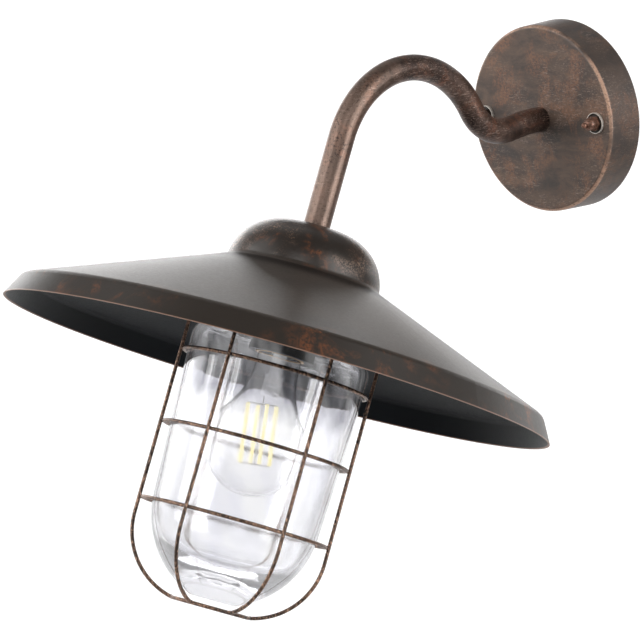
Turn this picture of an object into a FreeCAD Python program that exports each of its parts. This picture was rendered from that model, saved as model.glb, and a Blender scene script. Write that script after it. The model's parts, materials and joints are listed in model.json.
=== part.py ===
import FreeCAD, Part
import Sketcher
import math
import os

# Outdoor wall lamp: a gooseneck arm carries a wide dish shade, a glass jar in a wire cage and a bulb.
# Lengths are in millimetres and angles in degrees. The wall is the plane y = 0, the origin is the
# centre of the canopy's back, +Z is up and the lamp reaches out along -Y.

os.makedirs("parts", exist_ok=True)

VALUES = {
    # clearances that several pieces share
    "running_gap": 0.3,
    "thread_gap": 0.05,
    # canopy and its seal
    "canopy_radius": 60.0,
    "canopy_flare": 0.8,
    "canopy_depth": 26.0,
    "canopy_sheet": 1.0,
    "canopy_edge": 2.5,
    "gasket_width": 7.0,
    "gasket_thickness": 3.0,
    # crossbar behind the canopy
    "bar_width": 18.0,
    "bar_thickness": 1.6,
    "bar_half_length": 54.0,
    "bar_flat_half": 38.5,
    "bar_rise": 5.0,
    "box_hole_radius": 2.6,
    "box_hole_pitch": 70.0,
    "wire_hole_radius": 6.0,
    "ground_place": 19.0,
    # small machine screws and their nuts
    "screw_radius": 2.0,
    "screw_head_radius": 3.5,
    "screw_head_height": 2.4,
    "nut_across": 7.0,
    "nut_height": 3.0,
    # canopy studs, cup washers and cap nuts
    "stud_pitch": 95.0,
    "stud_reach": 6.0,
    "cup_radius": 6.6,
    "cup_lip": 0.6,
    "cup_height": 1.6,
    "cup_floor": 0.9,
    "cap_nut_across": 8.6,
    "cap_nut_height": 3.2,
    "cap_dome_radius": 4.2,
    "cap_dome_height": 4.6,
    "ball_neck_radius": 1.2,
    "ball_radius": 1.8,
    # threaded pipe that clamps the arm's two ends
    "pipe_radius": 4.9,
    "pipe_bore": 3.4,
    "pipe_nut_across": 14.0,
    "pipe_nut_height": 5.0,
    "washer_radius": 9.0,
    "washer_thickness": 1.0,
    "bush_length": 9.0,
    "pipe_tail": 3.0,
    # arm
    "tube_radius": 8.0,
    "tube_wall": 1.5,
    "arm_root": 10.0,
    "arm_sag_radius": 60.0,
    "arm_sag_angle": 7.1,
    "arm_lower_run": 12.7,
    "arm_rise_radius": 30.6,
    "arm_rise_angle": 62.1,
    "arm_upper_run": 2.0,
    "arm_over_radius": 62.5,
    "head_tilt_angle": 27.2,
    "arm_end_run": 55.5,
    # shade
    "shade_sheet": 1.0,
    "rim_radius": 167.0,
    "skirt_height": 14.0,
    "skirt_angle": 61.8,
    "neck_height": 60.0,
    "dome_side_radius": 46.7,
    "dome_corner_radius": 30.9,
    "dome_corner_height": 58.0,
    "dome_top_radius": 124.6,
    "crease_round": 5.0,
    "neck_round": 3.0,
    "shade_washer_radius": 13.0,
    # glass holder
    "holder_sheet": 1.2,
    "holder_flange_radius": 64.0,
    "holder_flange_height": 27.0,
    "holder_top_radius": 31.0,
    "lip_clearance": 1.0,
    "seal_thickness": 3.0,
    "seal_width": 5.0,
    # glass jar
    "jar_side_radius": 53.9,
    "jar_taper_angle": 2.4,
    "jar_side_drop": 88.0,
    "jar_base_radius": 57.9,
    "jar_foot_radius": 13.5,
    "jar_wall": 4.2,
    "jar_base_thickness": 16.0,
    "jar_floor_round": 12.0,
    "jar_shoulder_height": 8.0,
    "jar_shoulder_radius": 12.0,
    "jar_neck_radius": 39.4,
    "jar_lip_radius": 41.0,
    "jar_lip_low": 36.5,
    "jar_lip_height": 3.5,
    "jar_edge_round": 1.4,
    # thumbscrews that hold the jar
    "thumb_height": 34.0,
    "thumb_head_radius": 5.0,
    "thumb_head_length": 6.0,
    "thumb_head_gap": 5.0,
    "thumb_angle": 77.9,
    # cage
    "wire_radius": 1.1,
    "weld_sink": 0.2,
    "cage_radius": 57.8,
    "cage_bend_radius": 43.1,
    "cage_side_drop": 101.7,
    "cage_end_radius": 23.4,
    "cage_angle": -12.1,
    "upper_ring_drop": 1.3,
    "middle_ring_drop": 45.5,
    "lower_ring_drop": 92.0,
    "cage_plate_inner": 54.8,
    "cage_plate_thickness": 1.5,
    "cage_screw_circle": 59.4,
    # lampholder
    "holder_body_radius": 20.0,
    "mouth_height": 9.5,
    "contact_room": 4.7,
    "body_floor": 6.0,
    "body_bore": 14.2,
    "shell_radius": 13.5,
    "shell_sheet": 0.4,
    "shell_flange_radius": 14.9,
    "shell_room": 3.0,
    "cap_side_length": 11.0,
    "cap_cone_height": 7.8,
    "cap_top_radius": 12.0,
    "cap_wall": 3.5,
    "contact_width": 5.0,
    "contact_length": 9.0,
    "contact_sheet": 0.4,
    "terminal_place": 4.4,
    "terminal_radius": 1.5,
    "terminal_head_radius": 3.0,
    "terminal_head_height": 2.2,
    # bulb
    "base_radius": 13.1,
    "base_sheet": 0.4,
    "base_length": 21.0,
    "base_crown_radius": 10.0,
    "base_crown_height": 2.0,
    "base_overlap": 10.0,
    "bulb_contact_radius": 4.8,
    "bulb_contact_height": 1.2,
    "insulator_height": 3.6,
    "bulb_radius": 30.0,
    "bulb_neck_radius": 13.4,
    "bulb_neck_height": 3.0,
    "bulb_centre_drop": 45.5,
    "bulb_glass": 0.8,
    "stem_radius": 4.0,
    "stem_flare": 1.5,
    "press_width": 11.0,
    "press_thickness": 3.6,
    "press_height": 13.0,
    "press_drop": 16.0,
    "filament_radius": 1.0,
    "filament_length": 35.0,
    "filament_circle": 9.0,
    "filament_drop": 38.5,
    "filament_lean_angle": 8.0,
    "filament_angle": 47.9,
    "filament_turn_angle": 16.4,
    "post_radius": 0.35,
    # supply leads inside the arm
    "lead_radius": 1.3,
    "lead_spread": 1.6,
    "lead_start": 8.0,
}

WIRE_COUNT = 6
SCREW_COUNT = 3
FILAMENT_COUNT = 4
CROWN_SHARE = 1 / 3
GRIP_SHARE = 1 / 6

DOC = FreeCAD.newDocument("wall_lamp")
SHEET = DOC.addObject("Spreadsheet::Sheet", "Sizes")
for row, (alias, number) in enumerate(VALUES.items(), start=1):
    cell = "A%d" % row
    SHEET.set(cell, str(number))
    SHEET.setAlias(cell, alias)
DOC.recompute()


class Size:
    """A number together with the formula that gives it from the cells of the sheet."""

    def __init__(self, value, formula=None):
        self.value = float(value)
        self.plain = formula is None
        self.formula = repr(self.value) if formula is None else formula

    def is_plain(self, number):
        return self.plain and self.value == number

    def __add__(self, other):
        other = sized(other)
        if self.is_plain(0):
            return other
        if other.is_plain(0):
            return self
        return Size(self.value + other.value, "(%s + %s)" % (self.formula, other.formula))

    def __neg__(self):
        return Size(-self.value, None if self.plain else "(-%s)" % self.formula)

    def __sub__(self, other):
        other = sized(other)
        if other.is_plain(0):
            return self
        return Size(self.value - other.value, "(%s - %s)" % (self.formula, other.formula))

    def __mul__(self, other):
        other = sized(other)
        if self.is_plain(0) or other.is_plain(0):
            return Size(0)
        if self.is_plain(1):
            return other
        if other.is_plain(1):
            return self
        return Size(self.value * other.value, "(%s * %s)" % (self.formula, other.formula))

    def __truediv__(self, other):
        other = sized(other)
        return Size(self.value / other.value, "(%s / %s)" % (self.formula, other.formula))

    def __radd__(self, other):
        return sized(other) + self

    def __rsub__(self, other):
        return sized(other) - self

    def __rmul__(self, other):
        return sized(other) * self

    def __rtruediv__(self, other):
        return sized(other) / self


def sized(number):
    return number if isinstance(number, Size) else Size(number)


def sine(angle):
    angle = sized(angle)
    return Size(math.sin(math.radians(angle.value)), "sin(%s)" % angle.formula)


def cosine(angle):
    angle = sized(angle)
    return Size(math.cos(math.radians(angle.value)), "cos(%s)" % angle.formula)


def tangent(angle):
    angle = sized(angle)
    return Size(math.tan(math.radians(angle.value)), "tan(%s)" % angle.formula)


def root(number):
    return Size(math.sqrt(number.value), "sqrt(%s)" % number.formula)


def side_left(hypotenuse, other_side):
    """The third side of a right-angled triangle."""
    return root(hypotenuse * hypotenuse - other_side * other_side)


class Cells:
    """Gives each cell of the sheet as a Size, by its alias."""

    def __getattr__(self, alias):
        return Size(VALUES[alias], "Sizes.%s" % alias)


S = Cells()


class Frame:
    """A place and three directions that pieces are drawn in."""

    def __init__(self, origin, axes, turns):
        self.origin = origin
        self.axes = axes
        self.turns = turns

    def point(self, x, y, z):
        shares = (sized(x), sized(y), sized(z))
        place = []
        for index in range(3):
            total = sized(self.origin[index])
            for share, axis in zip(shares, self.axes):
                total = total + share * axis[index]
            place.append(total)
        return place

    def moved(self, x, y, z):
        return Frame(self.point(x, y, z), self.axes, self.turns)

    def turned(self, name, angle):
        """Turns the frame by the right-hand rule about one of its own axes."""
        angle = sized(angle)
        first = ("xyz".index(name) + 1) % 3
        second = (first + 1) % 3
        c = cosine(angle)
        s = sine(angle)
        axes = list(self.axes)
        pair = list(zip(self.axes[first], self.axes[second]))
        axes[first] = [a * c + b * s for a, b in pair]
        axes[second] = [b * c - a * s for a, b in pair]
        return Frame(self.origin, axes, self.turns + [(name, angle)])

    def formula(self):
        place = "create(<<vector>>; %s; %s; %s)" % tuple(sized(value).formula for value in self.origin)
        units = {"x": "1; 0; 0", "y": "0; 1; 0", "z": "0; 0; 1"}
        turns = ["create(<<rotation>>; create(<<vector>>; %s); %s)" % (units[name], angle.formula)
                 for name, angle in self.turns]
        rotation = " * ".join(turns) if turns else "create(<<rotation>>; create(<<vector>>; 0; 0; 1); 0)"
        return "create(<<placement>>; %s; %s)" % (place, rotation)


WORLD = Frame([Size(0), Size(0), Size(0)], [[Size(1), Size(0), Size(0)], [Size(0), Size(1), Size(0)],
                                           [Size(0), Size(0), Size(1)]], [])
# In the wall frame +Z points out of the wall and +Y points up.
WALL = Frame(WORLD.origin, [[Size(1), Size(0), Size(0)], [Size(0), Size(0), Size(1)],
                            [Size(0), Size(-1), Size(0)]], [("x", Size(90))])


def hold(item, frame):
    """Ties an object's Placement to the frame."""
    item.setExpression("Placement", frame.formula())
    return item


def body_in(label, frame):
    body = DOC.addObject("PartDesign::Body", label)
    body.Label = label
    return hold(body, frame)


def origin_item(body, role):
    for item in body.Origin.OriginFeatures:
        if item.Role == role:
            return item
    raise ValueError("no origin item " + role)


def sketch_on(body, role, lift=0):
    """A sketch on one of the body's origin planes, lifted along that plane's normal."""
    sketch = body.newObject("Sketcher::SketchObject", body.Label + "_sketch")
    sketch.AttachmentSupport = (origin_item(body, role), [""])
    sketch.MapMode = "FlatFace"
    lift = sized(lift)
    if not lift.is_plain(0):
        sketch.setExpression("AttachmentOffset.Base.z", lift.formula)
    return sketch


def tie_point(sketch, geometry, position, x, y):
    """Binds one point of a sketch to its two coordinates."""
    for kind, axis, number in (("DistanceX", -2, sized(x)), ("DistanceY", -1, sized(y))):
        if number.is_plain(0):
            sketch.addConstraint(Sketcher.Constraint("PointOnObject", geometry, position, axis))
            continue
        index = sketch.addConstraint(Sketcher.Constraint(kind, -1, 1, geometry, position, number.value))
        sketch.setExpression("Constraints[%d]" % index, number.formula)


def tie_radius(sketch, geometry, radius):
    index = sketch.addConstraint(Sketcher.Constraint("Radius", geometry, radius.value))
    sketch.setExpression("Constraints[%d]" % index, radius.formula)


def draw_line(sketch, corners, closed=True):
    """Draws straight edges and arcs through the corners.

    A corner is (x, y) when a straight edge leaves it, and (x, y, radius, side) when an arc leaves it:
    side 1 puts the arc's centre to the left of the way along, side -1 to the right.
    """
    count = len(corners)
    edges = count if closed else count - 1
    ends = []
    for index in range(edges):
        start = corners[index]
        stop = corners[(index + 1) % count]
        a = FreeCAD.Vector(sized(start[0]).value, sized(start[1]).value, 0)
        b = FreeCAD.Vector(sized(stop[0]).value, sized(stop[1]).value, 0)
        if len(start) == 2:
            geometry = sketch.addGeometry(Part.LineSegment(a, b))
            ends.append((geometry, 1, 2))
            continue
        radius, side = start[2], start[3]
        way = b - a
        reach = math.sqrt(radius.value ** 2 - way.Length ** 2 / 4)
        left = FreeCAD.Vector(-way.y, way.x, 0).normalize()
        centre = (a + b) / 2 + left * reach * side
        first, last = (a, b) if side > 0 else (b, a)
        angles = [math.atan2(end.y - centre.y, end.x - centre.x) for end in (first, last)]
        circle = Part.Circle(centre, FreeCAD.Vector(0, 0, 1), radius.value)
        geometry = sketch.addGeometry(Part.ArcOfCircle(circle, angles[0], angles[1]))
        ends.append((geometry, 1, 2) if side > 0 else (geometry, 2, 1))
        tie_radius(sketch, geometry, radius)
    for index, (geometry, start_point, stop_point) in enumerate(ends):
        tie_point(sketch, geometry, start_point, *corners[index][:2])
        if closed or index + 1 < edges:
            following = ends[(index + 1) % edges]
            sketch.addConstraint(Sketcher.Constraint("Coincident", geometry, stop_point,
                                                     following[0], following[1]))
        else:
            tie_point(sketch, geometry, stop_point, *corners[index + 1][:2])


def draw_circle(sketch, x, y, radius):
    centre = FreeCAD.Vector(sized(x).value, sized(y).value, 0)
    geometry = sketch.addGeometry(Part.Circle(centre, FreeCAD.Vector(0, 0, 1), radius.value))
    tie_point(sketch, geometry, 3, x, y)
    tie_radius(sketch, geometry, radius)


def spin(body, corners):
    """Adds a ring or solid spun about the body's Z axis; a corner is (radius, height)."""
    sketch = sketch_on(body, "XZ_Plane")
    draw_line(sketch, corners)
    turn = body.newObject("PartDesign::Revolution", body.Label + "_spin")
    turn.Profile = sketch
    turn.ReferenceAxis = (sketch, ["V_Axis"])
    turn.Angle = 360
    return turn


def spun(label, frame, corners):
    body = body_in(label, frame)
    spin(body, corners)
    return body


def ring(label, frame, inner, outer, low, high):
    return spun(label, frame, [(inner, low), (outer, low), (outer, high), (inner, high)])


def cut(body, sketch, one_way=False):
    """Cuts a sketch right through the body, both ways or only along the sketch's normal."""
    DOC.recompute()
    before = body.Shape.Volume
    pocket = body.newObject("PartDesign::Pocket", body.Label + "_cut")
    pocket.Profile = sketch
    pocket.Type = "ThroughAll"
    if one_way:
        pocket.Reversed = True
    else:
        pocket.Midplane = True
    DOC.recompute()
    if not body.Shape.Volume < before:
        raise ValueError("nothing was cut from " + body.Label)
    return pocket


def drill(body, holes):
    """Drills round holes along the body's Z axis; a hole is (x, y, radius)."""
    sketch = sketch_on(body, "XY_Plane")
    for x, y, radius in holes:
        draw_circle(sketch, x, y, radius)
    return cut(body, sketch)


def repeat(body, feature, count):
    """Repeats a feature evenly about the body's Z axis."""
    pattern = body.newObject("PartDesign::PolarPattern", body.Label + "_pattern")
    pattern.Originals = [feature]
    pattern.Axis = (origin_item(body, "Z_Axis"), [""])
    pattern.Angle = 360
    pattern.Occurrences = count
    body.Tip = pattern
    return pattern


def pad(body, sketch, length, midplane=False):
    block = body.newObject("PartDesign::Pad", body.Label + "_pad")
    block.Profile = sketch
    block.setExpression("Length", length.formula)
    block.Midplane = midplane
    return block


def round_edges(body, radius, circles):
    """Rounds the edges that are circles about the body's Z axis; a circle is (radius, height)."""
    DOC.recompute()
    tip = body.Tip
    tolerance = body.Shape.BoundBox.DiagonalLength / 1e5
    names = []
    for number, edge in enumerate(tip.Shape.Edges, start=1):
        if edge.Curve.TypeId != "Part::GeomCircle":
            continue
        for ring_radius, height in circles:
            near = abs(edge.Curve.Radius - ring_radius.value) < tolerance
            level = abs(edge.Curve.Center.z - height.value) < tolerance
            if near and level:
                names.append("Edge%d" % number)
    if len(names) != len(circles):
        raise ValueError("an edge to round is missing on " + body.Label)
    fillet = body.newObject("PartDesign::Fillet", body.Label + "_round")
    fillet.Base = (tip, names)
    fillet.setExpression("Radius", radius.formula)
    return fillet


def hex_nut(label, frame, across, bore, height):
    """A nut that stands on the frame's origin."""
    body = body_in(label, frame)
    sketch = sketch_on(body, "XY_Plane")
    half = across / 2
    point = across / math.sqrt(3)
    low = point / 2
    draw_line(sketch, [(0, -point), (half, -low), (half, low), (0, point), (-half, low), (-half, -low)])
    draw_circle(sketch, 0, 0, bore)
    pad(body, sketch, height)
    return body


def machine_screw(label, frame, radius, head_radius, head_height, length):
    """A round-headed screw: its head lies under the frame's origin and its shank stands above."""
    crown = head_height * CROWN_SHARE
    return spun(label, frame, [
        (0, -head_height), (head_radius - crown, -head_height, crown, 1), (head_radius, crown - head_height),
        (head_radius, 0), (radius, 0), (radius, length), (0, length)])


def sweep(body, route, section_plane, section_lift, circles):
    """Sweeps circles drawn at the route's start along the route."""
    section = sketch_on(body, section_plane, section_lift)
    for x, y, radius in circles:
        draw_circle(section, x, y, radius)
    pipe = body.newObject("PartDesign::AdditivePipe", body.Label + "_pipe")
    pipe.Profile = section
    pipe.Spine = route
    return pipe


def rod(label, frame, radius, length):
    """A round bar along the frame's Z axis, from its origin."""
    bar = DOC.addObject("Part::Cylinder", label)
    bar.Label = label
    bar.setExpression("Radius", radius.formula)
    bar.setExpression("Height", length.formula)
    return hold(bar, frame)


def group(label, members):
    """Several separate solids that share one node."""
    whole = DOC.addObject("Part::Compound", label)
    whole.Label = label
    whole.Links = members
    return whole


def numbered(label, count):
    return ["%s_%d" % (label, number) for number in range(1, count + 1)]


# The arm's route in the plane x = 0, as points (y, z), from the canopy's front to the shade's top.
def arm_turn(point, radius, heading, new_heading, side):
    """Where an arc ends: a heading is the climb above the way out, and side 1 bends it down."""
    across = sine(heading) - sine(new_heading)
    up = cosine(heading) - cosine(new_heading)
    return (point[0] - side * radius * across, point[1] - side * radius * up)


def arm_run(point, length, heading):
    return (point[0] - length * cosine(heading), point[1] + length * sine(heading))


SAG = -S.arm_sag_angle
PLUNGE = S.head_tilt_angle - 90
ROOT_START = (-S.canopy_depth, Size(0))
ROOT_END = (ROOT_START[0] - S.arm_root, Size(0))
SAG_END = arm_turn(ROOT_END, S.arm_sag_radius, Size(0), SAG, 1)
LOWER_END = arm_run(SAG_END, S.arm_lower_run, SAG)
RISE_END = arm_turn(LOWER_END, S.arm_rise_radius, SAG, S.arm_rise_angle, -1)
UPPER_END = arm_run(RISE_END, S.arm_upper_run, S.arm_rise_angle)
OVER_END = arm_turn(UPPER_END, S.arm_over_radius, S.arm_rise_angle, PLUNGE, 1)
ARM_END = arm_run(OVER_END, S.arm_end_run, PLUNGE)


def route_sketch(body, start, stop, lift=0):
    """The arm's centre line, with its first and last runs ended at the given points."""
    route = sketch_on(body, "YZ_Plane", lift)
    draw_line(route, [
        start,
        ROOT_END + (S.arm_sag_radius, 1),
        SAG_END,
        LOWER_END + (S.arm_rise_radius, -1),
        RISE_END,
        UPPER_END + (S.arm_over_radius, 1),
        OVER_END,
        stop], closed=False)
    return route


# Heights in the shade, above the plane of its rim and along its axis.
CORNER_X = S.dome_side_radius - S.dome_corner_radius
TOP_CENTRE = S.dome_corner_height - side_left(S.dome_top_radius - S.dome_corner_radius, CORNER_X)
ARM_SEAT = TOP_CENTRE + side_left(S.dome_top_radius, S.tube_radius - S.tube_wall)


def head_point(height):
    """A point (y, z) on the shade's axis at the given height above its rim."""
    return arm_run(ARM_END, ARM_SEAT - height, PLUNGE)


RIM_CENTRE = head_point(Size(0))
# In the head frame the origin is the rim's centre and +Z runs up the shade's axis into the arm.
HEAD = Frame([Size(0), RIM_CENTRE[0], RIM_CENTRE[1]], WORLD.axes, []).turned("x", -S.head_tilt_angle)

CANOPY_BACK = S.canopy_radius + S.canopy_flare
CANOPY_INSIDE = S.canopy_depth - S.canopy_sheet
STUD_X = S.stud_pitch / 2
BAR_END_FRONT = S.bar_rise + S.bar_thickness
SCREW_HOLE = S.screw_radius + S.thread_gap
PIPE_HOLE = S.pipe_radius + S.running_gap
PIPE_THREAD = S.pipe_radius + S.thread_gap


def make_crossbar():
    """A flat steel strip whose two ends stand off the wall to clear the stud heads."""
    body = body_in("wall_crossbar", WALL)
    mitre = S.bar_thickness * tangent(Size(45) / 2)
    flat = S.bar_flat_half
    raised = flat + S.bar_rise
    end = S.bar_half_length
    half = [(flat, 0), (raised, S.bar_rise), (end, S.bar_rise), (end, BAR_END_FRONT),
            (raised - mitre, BAR_END_FRONT), (flat - mitre, S.bar_thickness)]
    sketch = sketch_on(body, "XZ_Plane")
    draw_line(sketch, half + [(-x, y) for x, y in reversed(half)])
    pad(body, sketch, S.bar_width, midplane=True)
    box_x = S.box_hole_pitch / 2
    drill(body, [
        (0, 0, S.wire_hole_radius),
        (box_x, 0, S.box_hole_radius), (-box_x, 0, S.box_hole_radius),
        (STUD_X, 0, SCREW_HOLE), (-STUD_X, 0, SCREW_HOLE),
        (S.ground_place, 0, SCREW_HOLE)])
    return body


def make_ground_screw():
    """The earth screw lies flush with the crossbar's back."""
    seat = WALL.moved(S.ground_place, 0, S.bar_thickness).turned("x", Size(180))
    return machine_screw("ground_screw", seat, S.screw_radius, S.screw_head_radius,
                         S.screw_head_height, S.bar_thickness)


def make_studs():
    length = CANOPY_INSIDE + S.canopy_sheet + S.stud_reach - S.bar_rise
    studs = []
    nuts = []
    for side, name in ((-1, "left"), (1, "right")):
        seat = WALL.moved(STUD_X * side, 0, S.bar_rise)
        studs.append(machine_screw("canopy_stud_" + name, seat, S.screw_radius, S.screw_head_radius,
                                   S.screw_head_height, length))
        nuts.append(hex_nut("stud_nut_" + name, seat.moved(0, 0, S.bar_thickness), S.nut_across,
                            SCREW_HOLE, S.nut_height))
    return [group("canopy_studs", studs), group("stud_lock_nuts", nuts)]


def make_wall_gasket():
    outer = CANOPY_BACK - S.canopy_sheet - S.running_gap
    return ring("wall_gasket", WALL, outer - S.gasket_width, outer, Size(0), S.gasket_thickness)


def make_canopy():
    """A spun cup with a rounded front edge and a slightly wider back."""
    sheet = S.canopy_sheet
    edge = S.canopy_edge
    front = S.canopy_radius
    body = spun("canopy", WALL, [
        (CANOPY_BACK, 0), (front, S.canopy_depth - edge, edge, 1), (front - edge, S.canopy_depth),
        (PIPE_HOLE, S.canopy_depth), (PIPE_HOLE, CANOPY_INSIDE),
        (front - edge, CANOPY_INSIDE, edge - sheet, -1), (front - sheet, S.canopy_depth - edge),
        (CANOPY_BACK - sheet, 0)])
    stud_hole = S.screw_radius + S.running_gap
    drill(body, [(STUD_X, 0, stud_hole), (-STUD_X, 0, stud_hole)])
    return body


def make_cup_washers():
    """Thin washers with a raised lip, one under each cap nut."""
    front = S.canopy_depth
    floor = front + S.cup_floor
    lip = front + S.cup_height
    bore = S.screw_radius + S.running_gap
    washers = []
    for side, name in ((-1, "left"), (1, "right")):
        washers.append(spun("cup_washer_" + name, WALL.moved(STUD_X * side, 0, 0), [
            (bore, front), (S.cup_radius, front), (S.cup_radius, lip), (S.cup_radius - S.cup_lip, lip),
            (S.cup_radius - S.cup_lip, floor), (bore, floor)]))
    return group("nut_washers", washers)


def make_cap_nut(label, side):
    """A cap nut: six flats, a dome with a small ball on its tip, and a blind bore for the stud."""
    base = S.cup_floor + S.thread_gap
    seat = WALL.moved(STUD_X * side, 0, S.canopy_depth + base).turned("z", Size(30))
    body = hex_nut(label, seat, S.cap_nut_across, SCREW_HOLE, S.cap_nut_height)
    neck = S.cap_dome_height + side_left(S.cap_dome_radius, S.ball_neck_radius)
    ball = neck + side_left(S.ball_radius, S.ball_neck_radius)
    bore_end = S.stud_reach + S.running_gap - base
    spin(body, [
        (SCREW_HOLE, S.cap_nut_height), (S.cap_dome_radius, S.cap_nut_height),
        (S.cap_dome_radius, S.cap_dome_height, S.cap_dome_radius, 1),
        (S.ball_neck_radius, neck, S.ball_radius, 1),
        (0, ball + S.ball_radius), (0, bore_end), (SCREW_HOLE, bore_end)])
    return body


def make_canopy_clamp():
    """The threaded pipe, washer and nut that clamp the arm's root to the canopy."""
    washer_back = CANOPY_INSIDE - S.washer_thickness
    nut_back = washer_back - S.pipe_nut_height
    pipe_end = S.canopy_depth + S.bush_length
    return [
        ring("canopy_lock_washer", WALL, PIPE_HOLE, S.washer_radius, washer_back, CANOPY_INSIDE),
        hex_nut("canopy_lock_nut", WALL.moved(0, 0, nut_back), S.pipe_nut_across, PIPE_THREAD,
                S.pipe_nut_height),
        ring("canopy_pipe", WALL, S.pipe_bore, S.pipe_radius, nut_back - S.pipe_tail, pipe_end),
        ring("arm_root_bush", WALL, PIPE_THREAD, S.tube_radius - S.tube_wall, S.canopy_depth, pipe_end)]


def make_arm():
    body = body_in("arm_tube", WORLD)
    route = route_sketch(body, ROOT_START, ARM_END)
    sweep(body, route, "XZ_Plane", S.canopy_depth,
          [(0, 0, S.tube_radius), (0, 0, S.tube_radius - S.tube_wall)])
    return body


def shade_line(inset):
    """The shade's outline from rim to hole, at a depth under its outer skin."""
    centre_height = S.dome_corner_height
    neck_x = CORNER_X + side_left(S.dome_corner_radius, S.neck_height - centre_height)
    crease_x = S.rim_radius - S.skirt_height / tangent(S.skirt_angle)
    run = crease_x - neck_x
    rise = S.neck_height - S.skirt_height
    slant = root(run * run + rise * rise)
    cone_sine = rise / slant
    cone_cosine = run / slant
    skirt_sine = sine(S.skirt_angle)
    skirt_cosine = cosine(S.skirt_angle)
    mitre = inset / (1 + cone_sine * skirt_sine + cone_cosine * skirt_cosine)
    neck_low = S.neck_height + inset * (cone_sine - 1) / cone_cosine
    corner = S.dome_corner_radius - inset
    top = S.dome_top_radius - inset
    spread = S.dome_top_radius - S.dome_corner_radius
    return {
        "rim": (S.rim_radius - inset / skirt_sine, Size(0)),
        "crease": (crease_x - mitre * (cone_sine + skirt_sine),
                   S.skirt_height - mitre * (cone_cosine + skirt_cosine)),
        "neck": (CORNER_X + side_left(corner, neck_low - centre_height), neck_low),
        "corner": (CORNER_X + corner * CORNER_X / spread,
                   centre_height + corner * (centre_height - TOP_CENTRE) / spread),
        "hole": (PIPE_HOLE, TOP_CENTRE + side_left(top, PIPE_HOLE)),
        "corner_radius": corner,
        "top_radius": top,
    }


def make_shade():
    """A dome, a wide cone and a short steep skirt, spun from one sheet."""
    outer = shade_line(Size(0))
    inner = shade_line(S.shade_sheet)
    body = spun("shade", HEAD, [
        outer["rim"], outer["crease"],
        outer["neck"] + (outer["corner_radius"], 1),
        outer["corner"] + (outer["top_radius"], 1),
        outer["hole"],
        inner["hole"] + (inner["top_radius"], -1),
        inner["corner"] + (inner["corner_radius"], -1),
        inner["neck"], inner["crease"], inner["rim"]])
    round_edges(body, S.crease_round, [outer["crease"]])
    round_edges(body, S.crease_round - S.shade_sheet, [inner["crease"]])
    round_edges(body, S.neck_round, [outer["neck"]])
    round_edges(body, S.neck_round + S.shade_sheet, [inner["neck"]])
    return body


SHADE_WASHER_TOP = TOP_CENTRE - S.thread_gap + side_left(S.dome_top_radius - S.shade_sheet,
                                                         S.shade_washer_radius)
SHADE_NUT_TOP = SHADE_WASHER_TOP - S.washer_thickness

# The lampholder is stacked upward from its mouth: bulb, contact room, floor, cap and the holder's plate.
BULB_TIP = S.mouth_height + S.base_length + S.insulator_height + S.bulb_contact_height
BODY_FLOOR_LOW = BULB_TIP + S.contact_room
BODY_TOP = BODY_FLOOR_LOW + S.body_floor
CAP_SIDE_TOP = BODY_TOP + S.cap_side_length
HOLDER_PLATE_LOW = CAP_SIDE_TOP + S.cap_cone_height
HOLDER_TOP = HOLDER_PLATE_LOW + S.holder_sheet


def make_shade_clamp():
    """The threaded pipe in the arm's end, which clamps the shade and carries the lampholder."""
    pipe_top = ARM_SEAT + S.bush_length
    nut_low = SHADE_NUT_TOP - S.pipe_nut_height
    return [
        ring("arm_end_bush", HEAD, PIPE_THREAD, S.tube_radius - S.tube_wall, ARM_SEAT + S.running_gap,
             pipe_top),
        ring("shade_pipe", HEAD, S.pipe_bore, S.pipe_radius, CAP_SIDE_TOP, pipe_top),
        ring("shade_washer", HEAD, PIPE_HOLE, S.shade_washer_radius, SHADE_NUT_TOP, SHADE_WASHER_TOP),
        hex_nut("shade_lock_nut", HEAD.moved(0, 0, nut_low), S.pipe_nut_across, PIPE_THREAD,
                S.pipe_nut_height),
        hex_nut("holder_lock_nut", HEAD.moved(0, 0, HOLDER_TOP), S.pipe_nut_across, PIPE_THREAD,
                S.pipe_nut_height)]


JAR_LIP_TOP = S.jar_lip_low + S.jar_lip_height
SHELF_LOW = JAR_LIP_TOP + S.seal_thickness
HOLDER_INNER = S.jar_lip_radius + S.lip_clearance
HOLDER_OUTER = HOLDER_INNER + S.holder_sheet
FLANGE_TOP = S.holder_flange_height + S.holder_sheet
CAGE_SCREW_TURN = Size(180) / SCREW_COUNT


def make_glass_holder():
    """A stepped cup with a flange: the jar's neck goes up inside it and the cage hangs on its flange."""
    sheet = S.holder_sheet
    shelf_top = SHELF_LOW + sheet
    body = spun("glass_holder", HEAD.turned("z", S.thumb_angle), [
        (S.holder_flange_radius, S.holder_flange_height), (S.holder_flange_radius, FLANGE_TOP),
        (HOLDER_OUTER, FLANGE_TOP), (HOLDER_OUTER, shelf_top), (S.holder_top_radius, shelf_top),
        (S.holder_top_radius, HOLDER_TOP), (PIPE_HOLE, HOLDER_TOP),
        (PIPE_HOLE, HOLDER_PLATE_LOW), (S.holder_top_radius - sheet, HOLDER_PLATE_LOW),
        (S.holder_top_radius - sheet, SHELF_LOW), (HOLDER_INNER, SHELF_LOW),
        (HOLDER_INNER, S.holder_flange_height)])
    side_hole = sketch_on(body, "YZ_Plane")
    draw_circle(side_hole, 0, S.thumb_height, SCREW_HOLE)
    repeat(body, cut(body, side_hole, one_way=True), SCREW_COUNT)
    circle = S.cage_screw_circle
    flange_hole = drill(body, [(circle * cosine(CAGE_SCREW_TURN), circle * sine(CAGE_SCREW_TURN),
                                S.screw_radius + S.running_gap)])
    repeat(body, flange_hole, SCREW_COUNT)
    return body


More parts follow.
